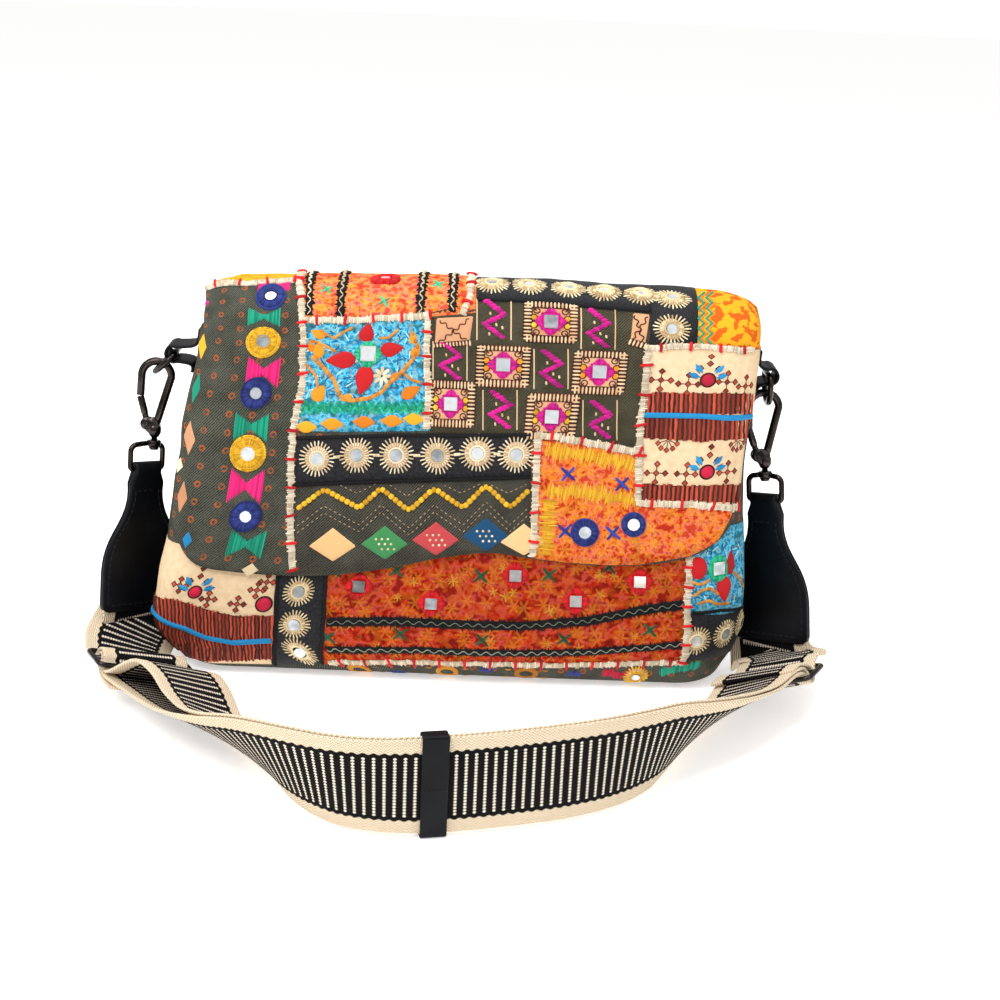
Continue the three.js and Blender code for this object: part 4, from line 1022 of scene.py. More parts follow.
# Flap: pixel tables.
# Patches: cloth, upper edge, lower edge, lift, millimetres added at left, top, right and bottom.
FLAP_PATCHES = [
    ("gold", [(203, 284), (250, 280), (300, 277)],
     [(203, 288), (250, 284), (300, 281)], 0.25, (4, 26, 0, 0)),
    ("dyed", [(301, 277), (360, 276), (420, 276), (476, 278)],
     [(301, 321), (345, 321), (430, 317), (476, 313)], 0.3, (0, 26, 0, 0)),
    ("turquoise", [(303, 321), (345, 321), (428, 317)],
     [(296, 431), (345, 432), (430, 431)], 0.3, (0, 0, 0, 0)),
    ("olive", [(428, 317), (476, 305), (560, 305), (652, 312)],
     [(428, 436), (500, 438), (580, 445), (645, 454)], 0.25, (0, 2, 0, 0)),
    ("yellow", [(697, 291), (730, 292), (758, 295)],
     [(697, 346), (730, 347), (756, 349)], 0.3, (0, 26, 30, 0)),
    ("cream", [(648, 349), (700, 347), (754, 350)],
     [(637, 504), (690, 505), (740, 508)], 0.3, (0, 0, 30, 0)),
    ("orange", [(537, 437), (575, 441), (610, 447), (643, 453)],
     [(533, 557), (570, 562), (610, 563), (640, 562)], 0.35, (0, 0, 0, 9)),
    ("orange", [(638, 503), (690, 505), (740, 508)],
     [(640, 562), (690, 555), (732, 540)], 0.34, (2, 0, 36, 14)),
    ("slate", [(292, 484), (400, 480), (531, 476)],
     [(292, 573), (380, 566), (440, 556), (490, 548), (531, 553)], 0.2, (0, 0, 0, 9)),
    ("ribbon", [(296, 437), (400, 434), (531, 434)],
     [(292, 486), (400, 482), (531, 478)], 0.45, (0, 0, 0, 0)),
    ("ribbon", [(477, 281), (560, 283), (652, 289)],
     [(477, 300), (560, 304), (652, 312)], 0.45, (0, 10, 0, 0)),
    ("ribbon", [(652, 290), (697, 293)], [(649, 345), (697, 346)], 0.45, (0, 20, 0, 0)),
]
# Seams: route, millimetres added at its start.
FLAP_SEAMS = [
    ([(299, 280), (301, 300), (303, 345), (302, 390), (294, 425), (290, 470), (290, 520), (292, 570)], 22),
    ([(203, 289), (245, 285), (295, 281)], 0),
    ([(303, 320), (345, 321), (390, 318), (430, 316)], 0),
    ([(427, 319), (427, 360), (428, 400), (427, 428)], 0),
    ([(471, 282), (471, 300), (462, 314)], 18),
    ([(646, 348), (700, 346), (753, 350)], 0),
    ([(648, 352), (646, 372), (642, 412), (640, 450), (638, 500)], 0),
    ([(637, 503), (690, 504), (741, 507)], 0),
    ([(538, 438), (536, 480), (535, 520), (533, 556)], 0),
    ([(537, 434), (575, 440), (610, 446), (640, 452)], 0),
]
# Ties: place, shade, height.
TIES = [
    (264, 317, "teal", 12), (263, 372, "pink", 17), (251, 427, "teal", 15), (246, 486, "pink", 19),
    (246, 544, "teal", 16), (274, 286, "pink", 9),
]
TIE_WIDE = 18
# Prints: place, shade, width, height.
EDGE_PRINTS = [
    (202, 346, "amber", 9, 16), (196, 388, "teal", 8, 18), (189, 438, "peach", 10, 20),
    (177, 463, "cream", 8, 9), (182, 497, "peach", 8, 19), (187, 540, "sky", 7, 10),
    (207, 303, "magenta", 6, 6), (250, 570, "cream", 9, 8),
]
# Suns: mirrors, how many, shade, radius of the hole, of the ring and of the rays.
RIBBON_SUNS = [
    ("top", 5, "gold", 3.0, 5.8, 9.6), ("side", 2, "gold", 3.0, 5.9, 9.9),
    ("sun", 6, "cream", 3.5, 6.6, 10.4),
]
RIBBON_EDGES = [
    [(296, 438), (400, 435), (531, 435)], [(292, 485), (400, 481), (531, 477)],
    [(477, 300), (560, 304), (650, 312)],
]
DYED_BANDS = [
    [(311, 277), (309, 315)], [(345, 276), (340, 317)], [(424, 276), (420, 314)],
    [(454, 278), (452, 312)],
]
DYED_OVER = 20
DYED_CROSSES = [(327, 290), (384, 302), (438, 285)]
# Petals and leaves: place, direction, length, width.
PETALS = [
    (367, 333, 80, 14, 9.5), (392, 349, 10, 15, 10), (341, 360, 185, 19, 10.5), (364, 380, 260, 18, 11.5),
]
ROSE_AREA = (306, 326, 422, 400)
ROSE_FLOWER = (382, 376)
ROSE_VINE = [
    (312, 356), (324, 368), (334, 380), (340, 396), (350, 401), (370, 398), (382, 392), (390, 382),
    (402, 372), (414, 358), (418, 348), (412, 332),
]
ROSE_TWIGS = [
    [(320, 330), (334, 338), (344, 332), (352, 328)], [(311, 340), (326, 346), (336, 352)],
    [(306, 364), (316, 376), (318, 388)], [(398, 330), (388, 338), (380, 338)],
    [(402, 372), (412, 380), (420, 382)],
]
ROSE_LEAVES = [
    (318, 334, 150, 10, 6.5), (319, 349, 95, 12, 7), (319, 393, 60, 11, 9), (411, 392, 30, 13, 7.5),
    (413, 338, 100, 9, 5), (416, 351, 60, 9, 6), (311, 346, 100, 8, 4.5), (396, 376, 40, 8, 4.5),
    (346, 398, 200, 8, 4.5),
]
ROSE_DIAMONDS = [
    (306, 427, "amber"), (332, 424, "orange"), (364, 422, "orange"), (392, 421, "orange"),
    (414, 419, "amber"),
]
# Zigzag rows under the rose: pixels down from the first one, shade.
ROSE_ROWS = [(0, "teal"), (6, "mint"), (3, "teal")]
ROSE_ROW_START, ROSE_ROW_STEP, ROSE_ROW_TOP, ROSE_ROW_TALL, ROSE_ROW_COUNT = 302, 4.1, 400, 9, 31
ZIGZAG_CELLS = [(494, 320), (598, 329), (450, 361), (551, 369), (500, 410), (600, 420)]
ZIGZAG = [(-7, -18), (10, -5), (-9, 4), (8, 17)]
ZIGZAG_DOTS = [(-4, -8), (2, 3), (-5, 12), (8, 6)]
PEACH_CELLS = [
    ((436, 318), (474, 316), (470, 343), (434, 345)), ((633, 313), (650, 315), (645, 346), (630, 342)),
]
BLOCK_HALF = np.array([11.6, 10.4])
CANVAS_CROSSES = [(661, 380), (688, 384), (727, 382), (745, 386), (656, 473), (686, 474), (727, 472)]
CANVAS_FLOWERS = [(708, 380), (707, 472)]
CANVAS_FANS = [(668, 440), (738, 440)]
# Striped bands: upper edge, lower edge, stripes.
CANVAS_STRIPES = [
    ([(644, 393), (700, 393), (752, 393)], [(643, 413), (700, 414), (751, 414)], 46),
    ([(643, 417), (700, 418), (751, 418)], [(642, 438), (700, 441), (750, 439)], 46),
    ([(641, 484), (690, 486), (744, 484)], [(640, 500), (690, 501), (742, 503)], 44),
]
CANVAS_CORD = [(644, 415), (700, 416), (752, 416)]
ORANGE_CROSSES = [(568, 474), (622, 484), (565, 531), (613, 533)]
ORANGE_BARS = [
    [(546, 450), (590, 456), (636, 464)], [(548, 490), (590, 494), (636, 501)],
    [(549, 500), (547, 540), (545, 554)],
]
# Zigzag threads at the left of the yellow print: left and right pixel.
YELLOW_COLUMNS = [(698, 704), (706, 712)]
YELLOW_TOP, YELLOW_STEP, YELLOW_COUNT = 294, 5, 11
BEAD_LINE = [
    (297, 509), (324, 489), (359, 508), (381, 488), (409, 511), (434, 488), (463, 508), (486, 485),
    (510, 508), (529, 490),
]
PRINT_DIAMONDS = [
    (333, 546, "peach"), (385, 544, "green"), (436, 540, "red"), (486, 536, "blue"),
    (524, 542, "peach"),
]
PRINT_CORNERS = [(0, -19), (-25, 0), (0, 16), (24, 0)]


def flap_patches(work):
    for cloth, upper, lower, lift, grow in FLAP_PATCHES:
        work.patch([work.spots(upper), work.spots(lower)], cloth, lift, grow)


def flap_seams(work):
    for pixels, over in FLAP_SEAMS:
        seam(work, pixels, over)


def strip_work(work):
    for px, py, shade, tall in TIES:
        bow_tie(work, work.spot(px, py), shade, TIE_WIDE, tall)
    for k in (1, 3, 5):
        mirror_ring(work, f"strip_{k}", "navy", inner=3.4, wide=5.0)
    for k in (2, 4):
        mirror_ring(work, f"strip_{k}", "yellow", inner=4.0, wide=4.6, cord=1.0)
    for px, py, shade, wide, tall in EDGE_PRINTS:
        work.fill(diamond(work.spot(px, py), wide, tall), shade, 0.12)


def ribbon_work(work):
    row = suns(work, RIBBON_SUNS)
    for a, b in zip(row[:-1], row[1:]):
        gap = [a + (b - a) * 0.42, a + (b - a) * 0.58]
        work.chain(gap, "cream", width=2.0, pitch=1.4, height=1.2, lift=0.4)
    for pixels in RIBBON_EDGES:
        work.line(work.spots(pixels), "black", 2.0, 1.5)


def dyed_work(work):
    for pixels in DYED_BANDS:
        ragged_band(work, pixels, over=DYED_OVER)
    for spot in work.spots(DYED_CROSSES):
        work.cross(spot, 9.5, "mint", turn=35, width=1.8)
    medallion(work, "dyed_1", "red", 6.8, 2.4, 2)
    for pixels in ORANGE_BARS:
        path = work.spots(pixels)
        work.line(path, "amber", 4.0, 0.5, FLAT)
        work.fringe(path, "yellow", 8.0, jitter=2.4, pitch=0.7, height=0.35, lift=0.25)
    for spot in work.spots(ORANGE_CROSSES):
        work.cross(spot, 11.5, "blue", turn=50, width=2.5)
    for k in (1, 2):
        mirror_ring(work, f"ring_{k}", "navy", inner=3.6, wide=4.9 - k)
    for left, right in YELLOW_COLUMNS:
        path = [(left if k % 2 else right, YELLOW_TOP + k * YELLOW_STEP) for k in range(YELLOW_COUNT)]
        work.ridge(work.spots(path), "teal", 1.5, 1.0)
        work.ridge(work.spots([(x + 3, y) for x, y in path]), "orange", 1.7, 0.8)


def rose_work(work):
    scatter(work, ROSE_AREA, 210, ("sky", "pale", "print_blue"))
    scatter(work, ROSE_AREA, 46, ("tan", "brown"), 0.5)
    medallion(work, "rose_1", "mint", 7.4, 0.9, 4)
    leaves(work, PETALS, "red")
    for pixels, wide in [(ROSE_VINE, 2.8), *[(twig, 1.9) for twig in ROSE_TWIGS]]:
        work.chain(work.spots(pixels), "vine", wide, pitch=2.4, height=1.1, lift=0.3, overlap=0.2)
    leaves(work, ROSE_LEAVES, "orange", 0.4)
    flower = work.spot(*ROSE_FLOWER)
    for turn in range(0, 360, 45):
        work.ray(flower, turn, 0.6, 5.4, "cream", 2.6, 1.1)
    for shift, shade in ROSE_ROWS:
        levels = ROSE_ROW_TOP + shift + ROSE_ROW_TALL, ROSE_ROW_TOP + shift
        row = [(ROSE_ROW_START + ROSE_ROW_STEP * k, levels[k % 2]) for k in range(ROSE_ROW_COUNT)]
        work.chain(work.spots(row), shade, width=1.8, pitch=2.6, height=1.0, lift=0.1)
    for px, py, shade in ROSE_DIAMONDS:
        leaf(work, work.spot(px, py), 0, 14, 7, shade, 0.4, LENS)


def comb(work, a, b, length):
    """A brown band with pale rungs across it."""
    points, along = resample([a, b], 2.0)
    work.ridge(points, "brown", length + 0.9, 0.75, section=FLAT)
    for p, t in zip(points, along):
        side = left_of(t) * length / 2
        work.stitch(p - side, p + side, "rung", width=1.25, height=0.5, lift=0.7)


def curl(work, spot, radius, shade):
    """A small outlined petal of the print."""
    work.fill(circle(spot, radius, 10), shade, 0.6, 0.2)
    work.ridge(circle(spot, radius + 0.2, 12), "brown", 0.7, 0.9, True)


def block_work(work):
    """Printed ladder cells with magenta zigzags and mirrors."""
    for cell in PEACH_CELLS:
        corners = work.spots(cell)
        work.fill(corners, "peach", 0.6)
        for a, b in ((corners[0], corners[2]), (corners[1], corners[3])):
            path = resample([a * 0.88 + b * 0.12, a * 0.12 + b * 0.88], 2)[0]
            work.ridge(wavy(path, reach=0.9, pitch=5.0), "brown", 0.9, 1.1)
        comb(work, corners[2], corners[3], 3.6)
    for k in range(1, 6):
        spot, _ = seat(work, f"block_{k}")
        box = [spot + BLOCK_HALF * c for c in SQUARE]
        work.fill(box, "peach", 0.45)
        for n, (a, b) in enumerate(zip(box, box[1:] + box[:1])):
            comb(work, a, b, 4.0)
            corner = a * 0.62 + spot * 0.38
            work.ridge(circle(corner, 1.6, 10), "brown", 0.8, 0.9, True)
            work.stitch(a * 0.8 + spot * 0.2, corner, "brown", width=0.9, height=0.7, lift=0.4)
            if n % 2 == 0:
                for y in (-2.2, 2.2):
                    petal = (a + b) / 2 * 0.74 + spot * 0.26 + (0, y)
                    curl(work, petal, 1.7, "yellow" if k % 2 else "orange")
        medallion(work, f"block_{k}", "magenta", 6.9, 1.2, 4)
    for px, py in ZIGZAG_CELLS:
        path = work.spots([(px + x, py + y) for x, y in ZIGZAG])
        for p in resample(path, 2.3)[0]:
            reach = np.array([RANDOM.uniform(1.6, 2.3), RANDOM.uniform(-0.2, 0.5)])
            work.stitch(p - reach, p + reach, "magenta", 2.6, 1.5)
        for x in (-17, 17):
            upright_line = work.spots([(px + x, py - 20), (px + x, py + 20)])
            work.ridge(resample(upright_line, 3)[0], "rung", 0.8, 0.7)
        for x, y in ZIGZAG_DOTS:
            spot = work.spot(px + x, py + y)
            work.stitch(spot, spot + (0.4, 2.2), "rung", 1.5, 0.5)


def canvas_work(work):
    for spot in work.spots(CANVAS_CROSSES):
        cross_motif(work, spot)
    for spot in work.spots(CANVAS_FLOWERS):
        bead_flower(work, spot)
    for top, bottom, count in CANVAS_STRIPES:
        stripes(work, top, bottom, count)
    work.line(work.spots(CANVAS_CORD), "sky", 3.4, 2.2)
    for spot in work.spots(CANVAS_FANS):
        for turn in (200, 235, 270, 305, 340):
            tip = spot + polar(turn, 5.5)
            work.stitch(spot, tip, "brown", 0.8, 0.5)
            work.fill(diamond(tip, 2.6, 2.8), "brick", 0.5)
            work.ridge(diamond(tip, 2.8, 3.0), "brown", 0.6, 0.7, True)


def twill_work(work):
    path = work.spots(BEAD_LINE)
    work.chain(path, "yellow", width=3.5, pitch=3.1, height=2.0, overlap=0.02)
    dashed = [[(x, y + shift) for x, y in BEAD_LINE] for shift in (17, 24)]
    for x, y in BEAD_LINE[2:-1:2]:
        dashed.append([(x - 19, 485), (x - 2, y - 15), (x + 17, 484)])
    for pixels in dashed:
        points, _ = resample(work.spots(pixels), 1.5)
        for p, q in zip(points[:-1:2], points[1::2]):
            work.stitch(p, q, "tan", width=0.5, height=0.4, lift=0.1)
    for px, py, shade in PRINT_DIAMONDS:
        corners = work.spots([(px + x, py + y) for x, y in PRINT_CORNERS])
        work.fill(FLAP_CLOTH.limits(corners), "print_" + shade, 0.4)
        if shade != "peach":
            for x in (-6, 0, 6):
                for y in (-5, 0, 5):
                    work.fill(circle(work.spot(px + x + y * 0.6, py + y), 0.75, 6), "cream", 0.55)


def sewn(cloth, makers):
    """A piece of needlework for each name."""
    pieces = []
    for name, make in makers.items():
        work = Needlework(cloth)
        make(work)
        pieces.append(work.sew(name))
    return pieces


flap_work = sewn(FLAP_CLOTH, {
    "flap_patches": flap_patches, "flap_seams": flap_seams, "strip_embroidery": strip_work,
    "ribbon_embroidery": ribbon_work, "dyed_embroidery": dyed_work, "rose_embroidery": rose_work,
    "block_embroidery": block_work, "canvas_embroidery": canvas_work, "twill_embroidery": twill_work,
})

# Front panel: pixel tables, with columns as for the flap.
FRONT_PATCHES = [
    ("cream", [(158, 558), (215, 566), (276, 572)],
     [(164, 662), (206, 668), (276, 664)], 0.25, (26, 12, 0, 0)),
    ("ribbon", [(275, 572), (327, 568)], [(272, 665), (323, 663)], 0.5, (0, 12, 0, 0)),
    ("panel", [(327, 566), (420, 560), (520, 552), (600, 560), (686, 558)],
     [(324, 664), (420, 663), (520, 665), (600, 666), (684, 662)], 0.3, (0, 14, 0, 0)),
    ("turquoise", [(688, 548), (748, 546)], [(690, 613), (744, 606)], 0.3, (0, 14, 26, 0)),
    ("ribbon", [(690, 613), (744, 606)], [(686, 660), (740, 652)], 0.5, (0, 0, 26, 0)),
]
# Seams: route, width, spacing of the red tacks.
FRONT_SEAMS = [
    ([(690, 557), (688, 600), (686, 640), (683, 662)], 4.0, 12.0),
    ([(329, 662), (420, 662), (505, 664), (555, 665), (600, 665), (683, 662)], 3.2, 15.0),
]
# Bands: route, width.
FRONT_BANDS = [
    ([(327, 622), (387, 621), (453, 624), (520, 626), (587, 621), (637, 611), (684, 604)], 6.4),
    ([(327, 649), (420, 650), (520, 653), (587, 652), (653, 647), (682, 644)], 5.0),
]
FRONT_CROSSES = [
    (335, 570), (397, 570), (481, 576), (549, 575), (609, 567), (328, 637), (400, 634), (482, 640),
    (564, 639), (650, 630),
]
CANVAS_SPRIGS = [(180, 585), (208, 599), (237, 604), (257, 590), (267, 582)]
FRONT_FLOWER, FRONT_BEAD = (195, 592), (264, 604)
STRIPE_TOP = [(158, 598), (178, 600), (206, 609), (233, 616), (272, 616)]
STRIPE_LOW = [(163, 650), (206, 660), (240, 660), (272, 658)]
STRIPE_COUNT, STRIPES_BEFORE = 62, 16
# The cord, and the millimetres of it that run round the corner.
CORD, CORNER = [(157, 614), (183, 627), (206, 637), (233, 642), (272, 640)], 24.0
FRONT_SUNS = [("front_sun", 3, "gold", 3.5, 5.6, 9.3), ("front_gold", 3, "gold", 3.2, 5.6, 9.0)]
FRONT_RIBBON_EDGES = [[(278, 572), (275, 664)], [(326, 568), (322, 663)]]
SIDE_RIBBON_EDGE = [(692, 613), (720, 610), (746, 606)]
# Printed stars: how many, and the area.
STAR_COUNT, STAR_LEFT, STAR_TOP, STAR_RIGHT, STAR_BOTTOM = 24, 335, 568, 680, 655
LEAF_AREA, RED_BUD = (692, 545, 742, 606), (698, 568)
FRONT_PETALS = [(730, 562, 85, 15, 8), (724, 589, 275, 17, 11)]
FRONT_TWIGS = [
    [(694, 596), (702, 590), (710, 588), (718, 594)], [(692, 582), (700, 585), (709, 580)],
    [(733, 572), (739, 578), (742, 586)], [(698, 604), (708, 600), (716, 604), (728, 603)],
]
UNDER_RINGS = [(360, 672), (447, 672), (526, 674)]
UNDER_STARS = [(398, 674), (487, 670), (574, 674)]
UNDER_FRINGES = [
    ([(604, 672), (622, 676), (632, 672)], "crimson"), ([(660, 672), (682, 668), (700, 664)], "teal"),
]


def front_patches(work):
    for cloth, upper, lower, lift, grow in FRONT_PATCHES:
        work.patch(between(work, upper, lower), cloth, lift, grow)


def front_seams(work):
    for pixels, wide, spacing in FRONT_SEAMS:
        seam(work, pixels, 0, wide, spacing)


def front_canvas(work):
    stripes(work, STRIPE_TOP, STRIPE_LOW, STRIPE_COUNT, STRIPES_BEFORE)
    cord = work.spots(CORD)
    work.line(np.vstack([cord[0] - (CORNER, 1), cord]), "sky", 3.4, 2.3)
    bead_flower(work, work.spot(*FRONT_FLOWER), 3.2)
    for spot in work.spots(CANVAS_SPRIGS):
        cross_motif(work, spot, 3.6)
    bead = work.spot(*FRONT_BEAD)
    work.fill(circle(bead, 5.2, 18), "brown", 0.6)
    work.fill(circle(bead, 4.1, 18), "crimson", 1.1, 1.3)


def front_ribbons(work):
    suns(work, FRONT_SUNS)
    for upper, lower in FRONT_RIBBON_EDGES:
        work.line([spots[0] for spots in between(work, [upper], [lower])], "black", 2.4, 1.3)
    work.line(work.spots(SIDE_RIBBON_EDGE), "black", 2.2, 1.2)


def front_panel(work):
    """Dyed panel: printed stars, black bands, green crosses and red medallions."""
    for _ in range(STAR_COUNT):
        spot = work.spot(RANDOM.uniform(STAR_LEFT, STAR_RIGHT), RANDOM.uniform(STAR_TOP, STAR_BOTTOM))
        reach = RANDOM.uniform(2.2, 3.8)
        turn = RANDOM.uniform(0, 60)
        for ray in range(6):
            tip = spot + polar(turn + ray * 60, reach)
            work.stitch(spot, tip, "star", width=0.9, height=0.18, lift=0.3)
    for pixels, wide in FRONT_BANDS:
        ragged_band(work, pixels, wide, "sage")
    for spot in work.spots(FRONT_CROSSES):
        work.cross(spot, 11, "green", turn=42, width=2.4)
    for k in range(1, 6):
        medallion(work, f"front_red_{k}", "red", 7.2, 0.7, 4)


def front_turquoise(work):
    scatter(work, LEAF_AREA, 120, ("sky", "pale", "print_blue"))
    work.fill(circle(work.spot(*RED_BUD), 5.6, 18, 1.2), "red", 0.6, 0.9)
    leaves(work, FRONT_PETALS, "red")
    medallion(work, "front_leaf_1", "mint", 7.0, 0.8, 2, 90)
    for pixels in FRONT_TWIGS:
        work.chain(work.spots(pixels), "vine", width=2.0, pitch=2.2, height=1.0, lift=0.3, overlap=0.2)


def front_base(work):
    """Printed rings and stars along the base."""
    for spot in work.spots(UNDER_RINGS):
        work.ridge(circle(spot, 5.6, 24, 0.75), "star", 3.2, 0.4, True)
        for side in (-11.0, 11.0):
            work.ridge([spot + (side, -4.0), spot + (side, 4.0)], "star", 4.2, 0.4)
    for spot in work.spots(UNDER_STARS):
        for turn in (20, 80, 140):
            reach = polar(turn, 5.2) * (1, 0.6)
            work.stitch(spot - reach, spot + reach, "navy", 1.8, 0.5)
    sun(work, "front_under_1", "yellow", 2.6, 5.0, 7.4, 22)
    for pixels, shade in UNDER_FRINGES:
        work.fringe(work.spots(pixels), shade, 6.0, jitter=1.2, pitch=1.1, height=0.4, lift=0.1)


sewn(BODY_CLOTH, {
    "front_patches": front_patches, "front_seams": front_seams, "front_canvas_embroidery": front_canvas,
    "front_ribbon_embroidery": front_ribbons, "front_panel_embroidery": front_panel,
    "front_turquoise_embroidery": front_turquoise, "front_base_embroidery": front_base,
})


# Strap, leather and metalwork, from the same tables as the bag's source.
WEB_WIDTH, WEB_THICK, WEB_PITCH = 50.0, 1.8, 2.6
LEATHER, FIT, WIRE, ROD = 1.8, 0.35, 3.4, 4.6
# Each side: sign of x, the tab loop off the gusset, the ring's dip, the hook eye's place and its lean
# and pitch, the strap loop's swivel and shift, and the sway of the webbing below the leather.
Side = namedtuple("Side", "sign out dip eye_x eye_z lean pitch swivel shift sway")
SIDES = {
    "left": Side(-1, 13.5, 43.7, -181.0, 162.2, 1.8, -8.2, 42.0, -4.0, 4.0),
    "right": Side(1, 8.0, 86.3, 167.4, 157.4, -4.8, -8.2, -37.0, 0.0, 6.0),
}
TAB_WIDTH, TAB_LOOP, TAB_LEVEL, TAB_TOP, TAB_FOOT, TAB_Y = 19.4, 4.6, 177.5, 192.0, 167.5, -1.0
TAB_STEPS = 53
# The tab's bend: directions in degrees. Its sewn ends: height, millimetres off the gusset.
TAB_TURNS = [112, 80, 45, 10, -25, -60, -90, -112]
TAB_UPPER = [(TAB_TOP, 0), (TAB_LEVEL + 8, 0), (TAB_LEVEL + 5.6, 1.2)]
TAB_LOWER = [(TAB_LEVEL - 5.8, 1.2), (TAB_LEVEL - 8, 0), (TAB_FOOT, 0)]
RING_HALF, RING_STRAIGHT = 11.9, 4.6
EYE_RADIUS = 8.5
SEAM_Z, PIVOT_X, PIVOT_Z, KNUCKLE_Z, NECK_Z, POST, HEAD = -11.5, -4.2, -27.5, -29.0, -35.0, 1.7, 3.1
LOOP_TOP, LOOP_HALF, LOOP_BAR, LOOP_WIRE = -38.2, 10.6, -54.0, 3.2
END_FIT, END_TOP, END_BOTTOM, END_LENGTH = 17.0, 22.0, 53.4, 83.0
END_THICK, END_FOLD, END_POCKET, END_CORNER = 4.6, 4.3, 14.0, 5
# STRAP: x, y, lift of the lower edge, tilt.
STRAP = [
    (-167, -97, 5.4, 17), (-154, -119, 4, 22), (-138, -143, 3, 28), (-121, -167, 2, 39),
    (-103, -190, 2.1, 54), (-82, -214, 2.1, 71), (-57, -230, 2.1, 81), (-31, -234, 2.1, 87),
    (-5, -230, 2.1, 90), (22, -222.5, 2.1, 90), (51, -212.5, 2.1, 90), (79, -198, 2.1, 86),
    (103, -177, 2.1, 75), (120, -155, 2.2, 58), (134, -133, 4.5, 44), (147.5, -112, 8, 33),
    (161, -91, 12.6, 24),
]
STRAP_STEPS, STRAP_NEAR, WEB_FINENESS = 24, 0.002, 6
# SLIDERS: x, y, z, heading, tilt, flip.
SLIDERS = {"left": (-178.5, -76, 16.5, -61, 16, 1), "right": (173, -70, 18.5, -119, 23, -1)}
SLIDER_HALF, SLIDER_BAR, SLIDER_RADIUS, SLIDER_BEND = 28.0, 11.0, 1.5, 3
# Route over a slider's middle bar and round it: along the slider, off its face.
RUNNING = [
    (-17, -4.6), (-11, -3.4), (-6.6, -0.3), (-4.6, 3.3), (0, 5.3), (4.6, 3.3), (6.6, -0.3), (11, -3.4),
]
LOOPED = [
    (11, -5.9), (6, -4.2), (3, -0.6), (2.1, 2.1), (0, 3), (-2.1, 2.1), (-3, 0), (-2.2, -2.4),
    (1.2, -4.6), (6, -7), (11, -8.3), (23, -8.4),
]
ARCH_HEIGHT, ARCH_REACH = 16.0, 95.0
KEEPER_WIDTH, KEEPER_ALONG, KEEPER_STEPS, KEEPER_BEND = 13.0, 0.485, 200, 0.8
KEEPER_THICK, KEEPER_SEAM_DROP, KEEPER_SEAM_HALF = LEATHER * 0.7, 1.5, 6
# Sections: share of the half width, millimetres in from the edge, share of the half thickness.
STRIP_SECTION = [
    (1, 0.0, 0.35), (1, 0.35, 0.9), (1, 1.2, 1.0), (0.5, 0, 1.0), (0, 0, 1.0), (-0.5, 0, 1.0),
    (-1, 1.2, 1.0), (-1, 0.35, 0.9), (-1, 0.0, 0.35),
]
END_SECTION = [
    (1, 0.45, 0.0), (1, 0.05, 0.2), (1, 0.0, 0.6), (1, 0.5, 0.92), (1, 1.4, 1.0), (0.5, 0, 1.02),
    (0, 0, 1.03), (-0.5, 0, 1.02), (-1, 1.4, 1.0), (-1, 0.5, 0.92), (-1, 0.0, 0.6), (-1, 0.05, 0.2),
]


def rotation(degrees, axis):
    return Matrix.Rotation(math.radians(degrees), 4, axis)


def hook_frame(side):
    turn = rotation(side.lean, "Y") @ rotation(side.pitch, "X")
    return Matrix.Translation((side.eye_x, TAB_Y, side.eye_z)) @ turn


def loop_frame(side):
    return hook_frame(side) @ Matrix.Translation((side.shift, 0, 0)) @ rotation(side.swivel, "Z")


def slider_frame(name):
    """A slider's middle, and its directions along the strap, along the bars and off its face."""
    x, y, z, turn, tilt, _ = SLIDERS[name]
    sign = SIDES[name].sign
    a, b = math.radians(turn), math.radians(tilt)
    t = np.array([math.cos(a), math.sin(a), 0.0])
    w = np.array([-t[1], t[0], 0.0]) * sign * math.cos(b) + np.array([0, 0, math.sin(b)])
    return np.array([x, y, z]), t, w, np.cross(t, w) * sign


def past_slider(name, route):
    """Points of a route through a slider, and the width direction there."""
    o, t, w, n = slider_frame(name)
    flip = SLIDERS[name][5]
    return [o + t * a + n * flip * b for a, b in route], w


def strap_line(steps):
    """The doubled strap's middle line: points, width directions, normals to the bag, directions along."""
    x, y, lift, tilt = np.array(STRAP, float).T
    rows = np.stack([x, y, lift + WEB_WIDTH / 2 * np.sin(np.radians(tilt))], -1)
    last = len(rows) - 1
    u = np.linspace(0, last, steps + 1)
    after, before = np.minimum(u + STRAP_NEAR, last), np.maximum(u - STRAP_NEAR, 0)
    along = unit(smooth_curve(rows, after) - smooth_curve(rows, before))
    plan = unit(along * (1, 1, 0))
    turn = np.radians(np.interp(u, np.arange(last + 1), tilt))[:, None]
    level = np.stack([plan[:, 1], -plan[:, 0], 0 * u], -1)
    wide = level * np.cos(turn) + np.array(ALONG_Z) * np.sin(turn)
    return smooth_curve(rows, u), wide, unit(np.cross(wide, along)), along


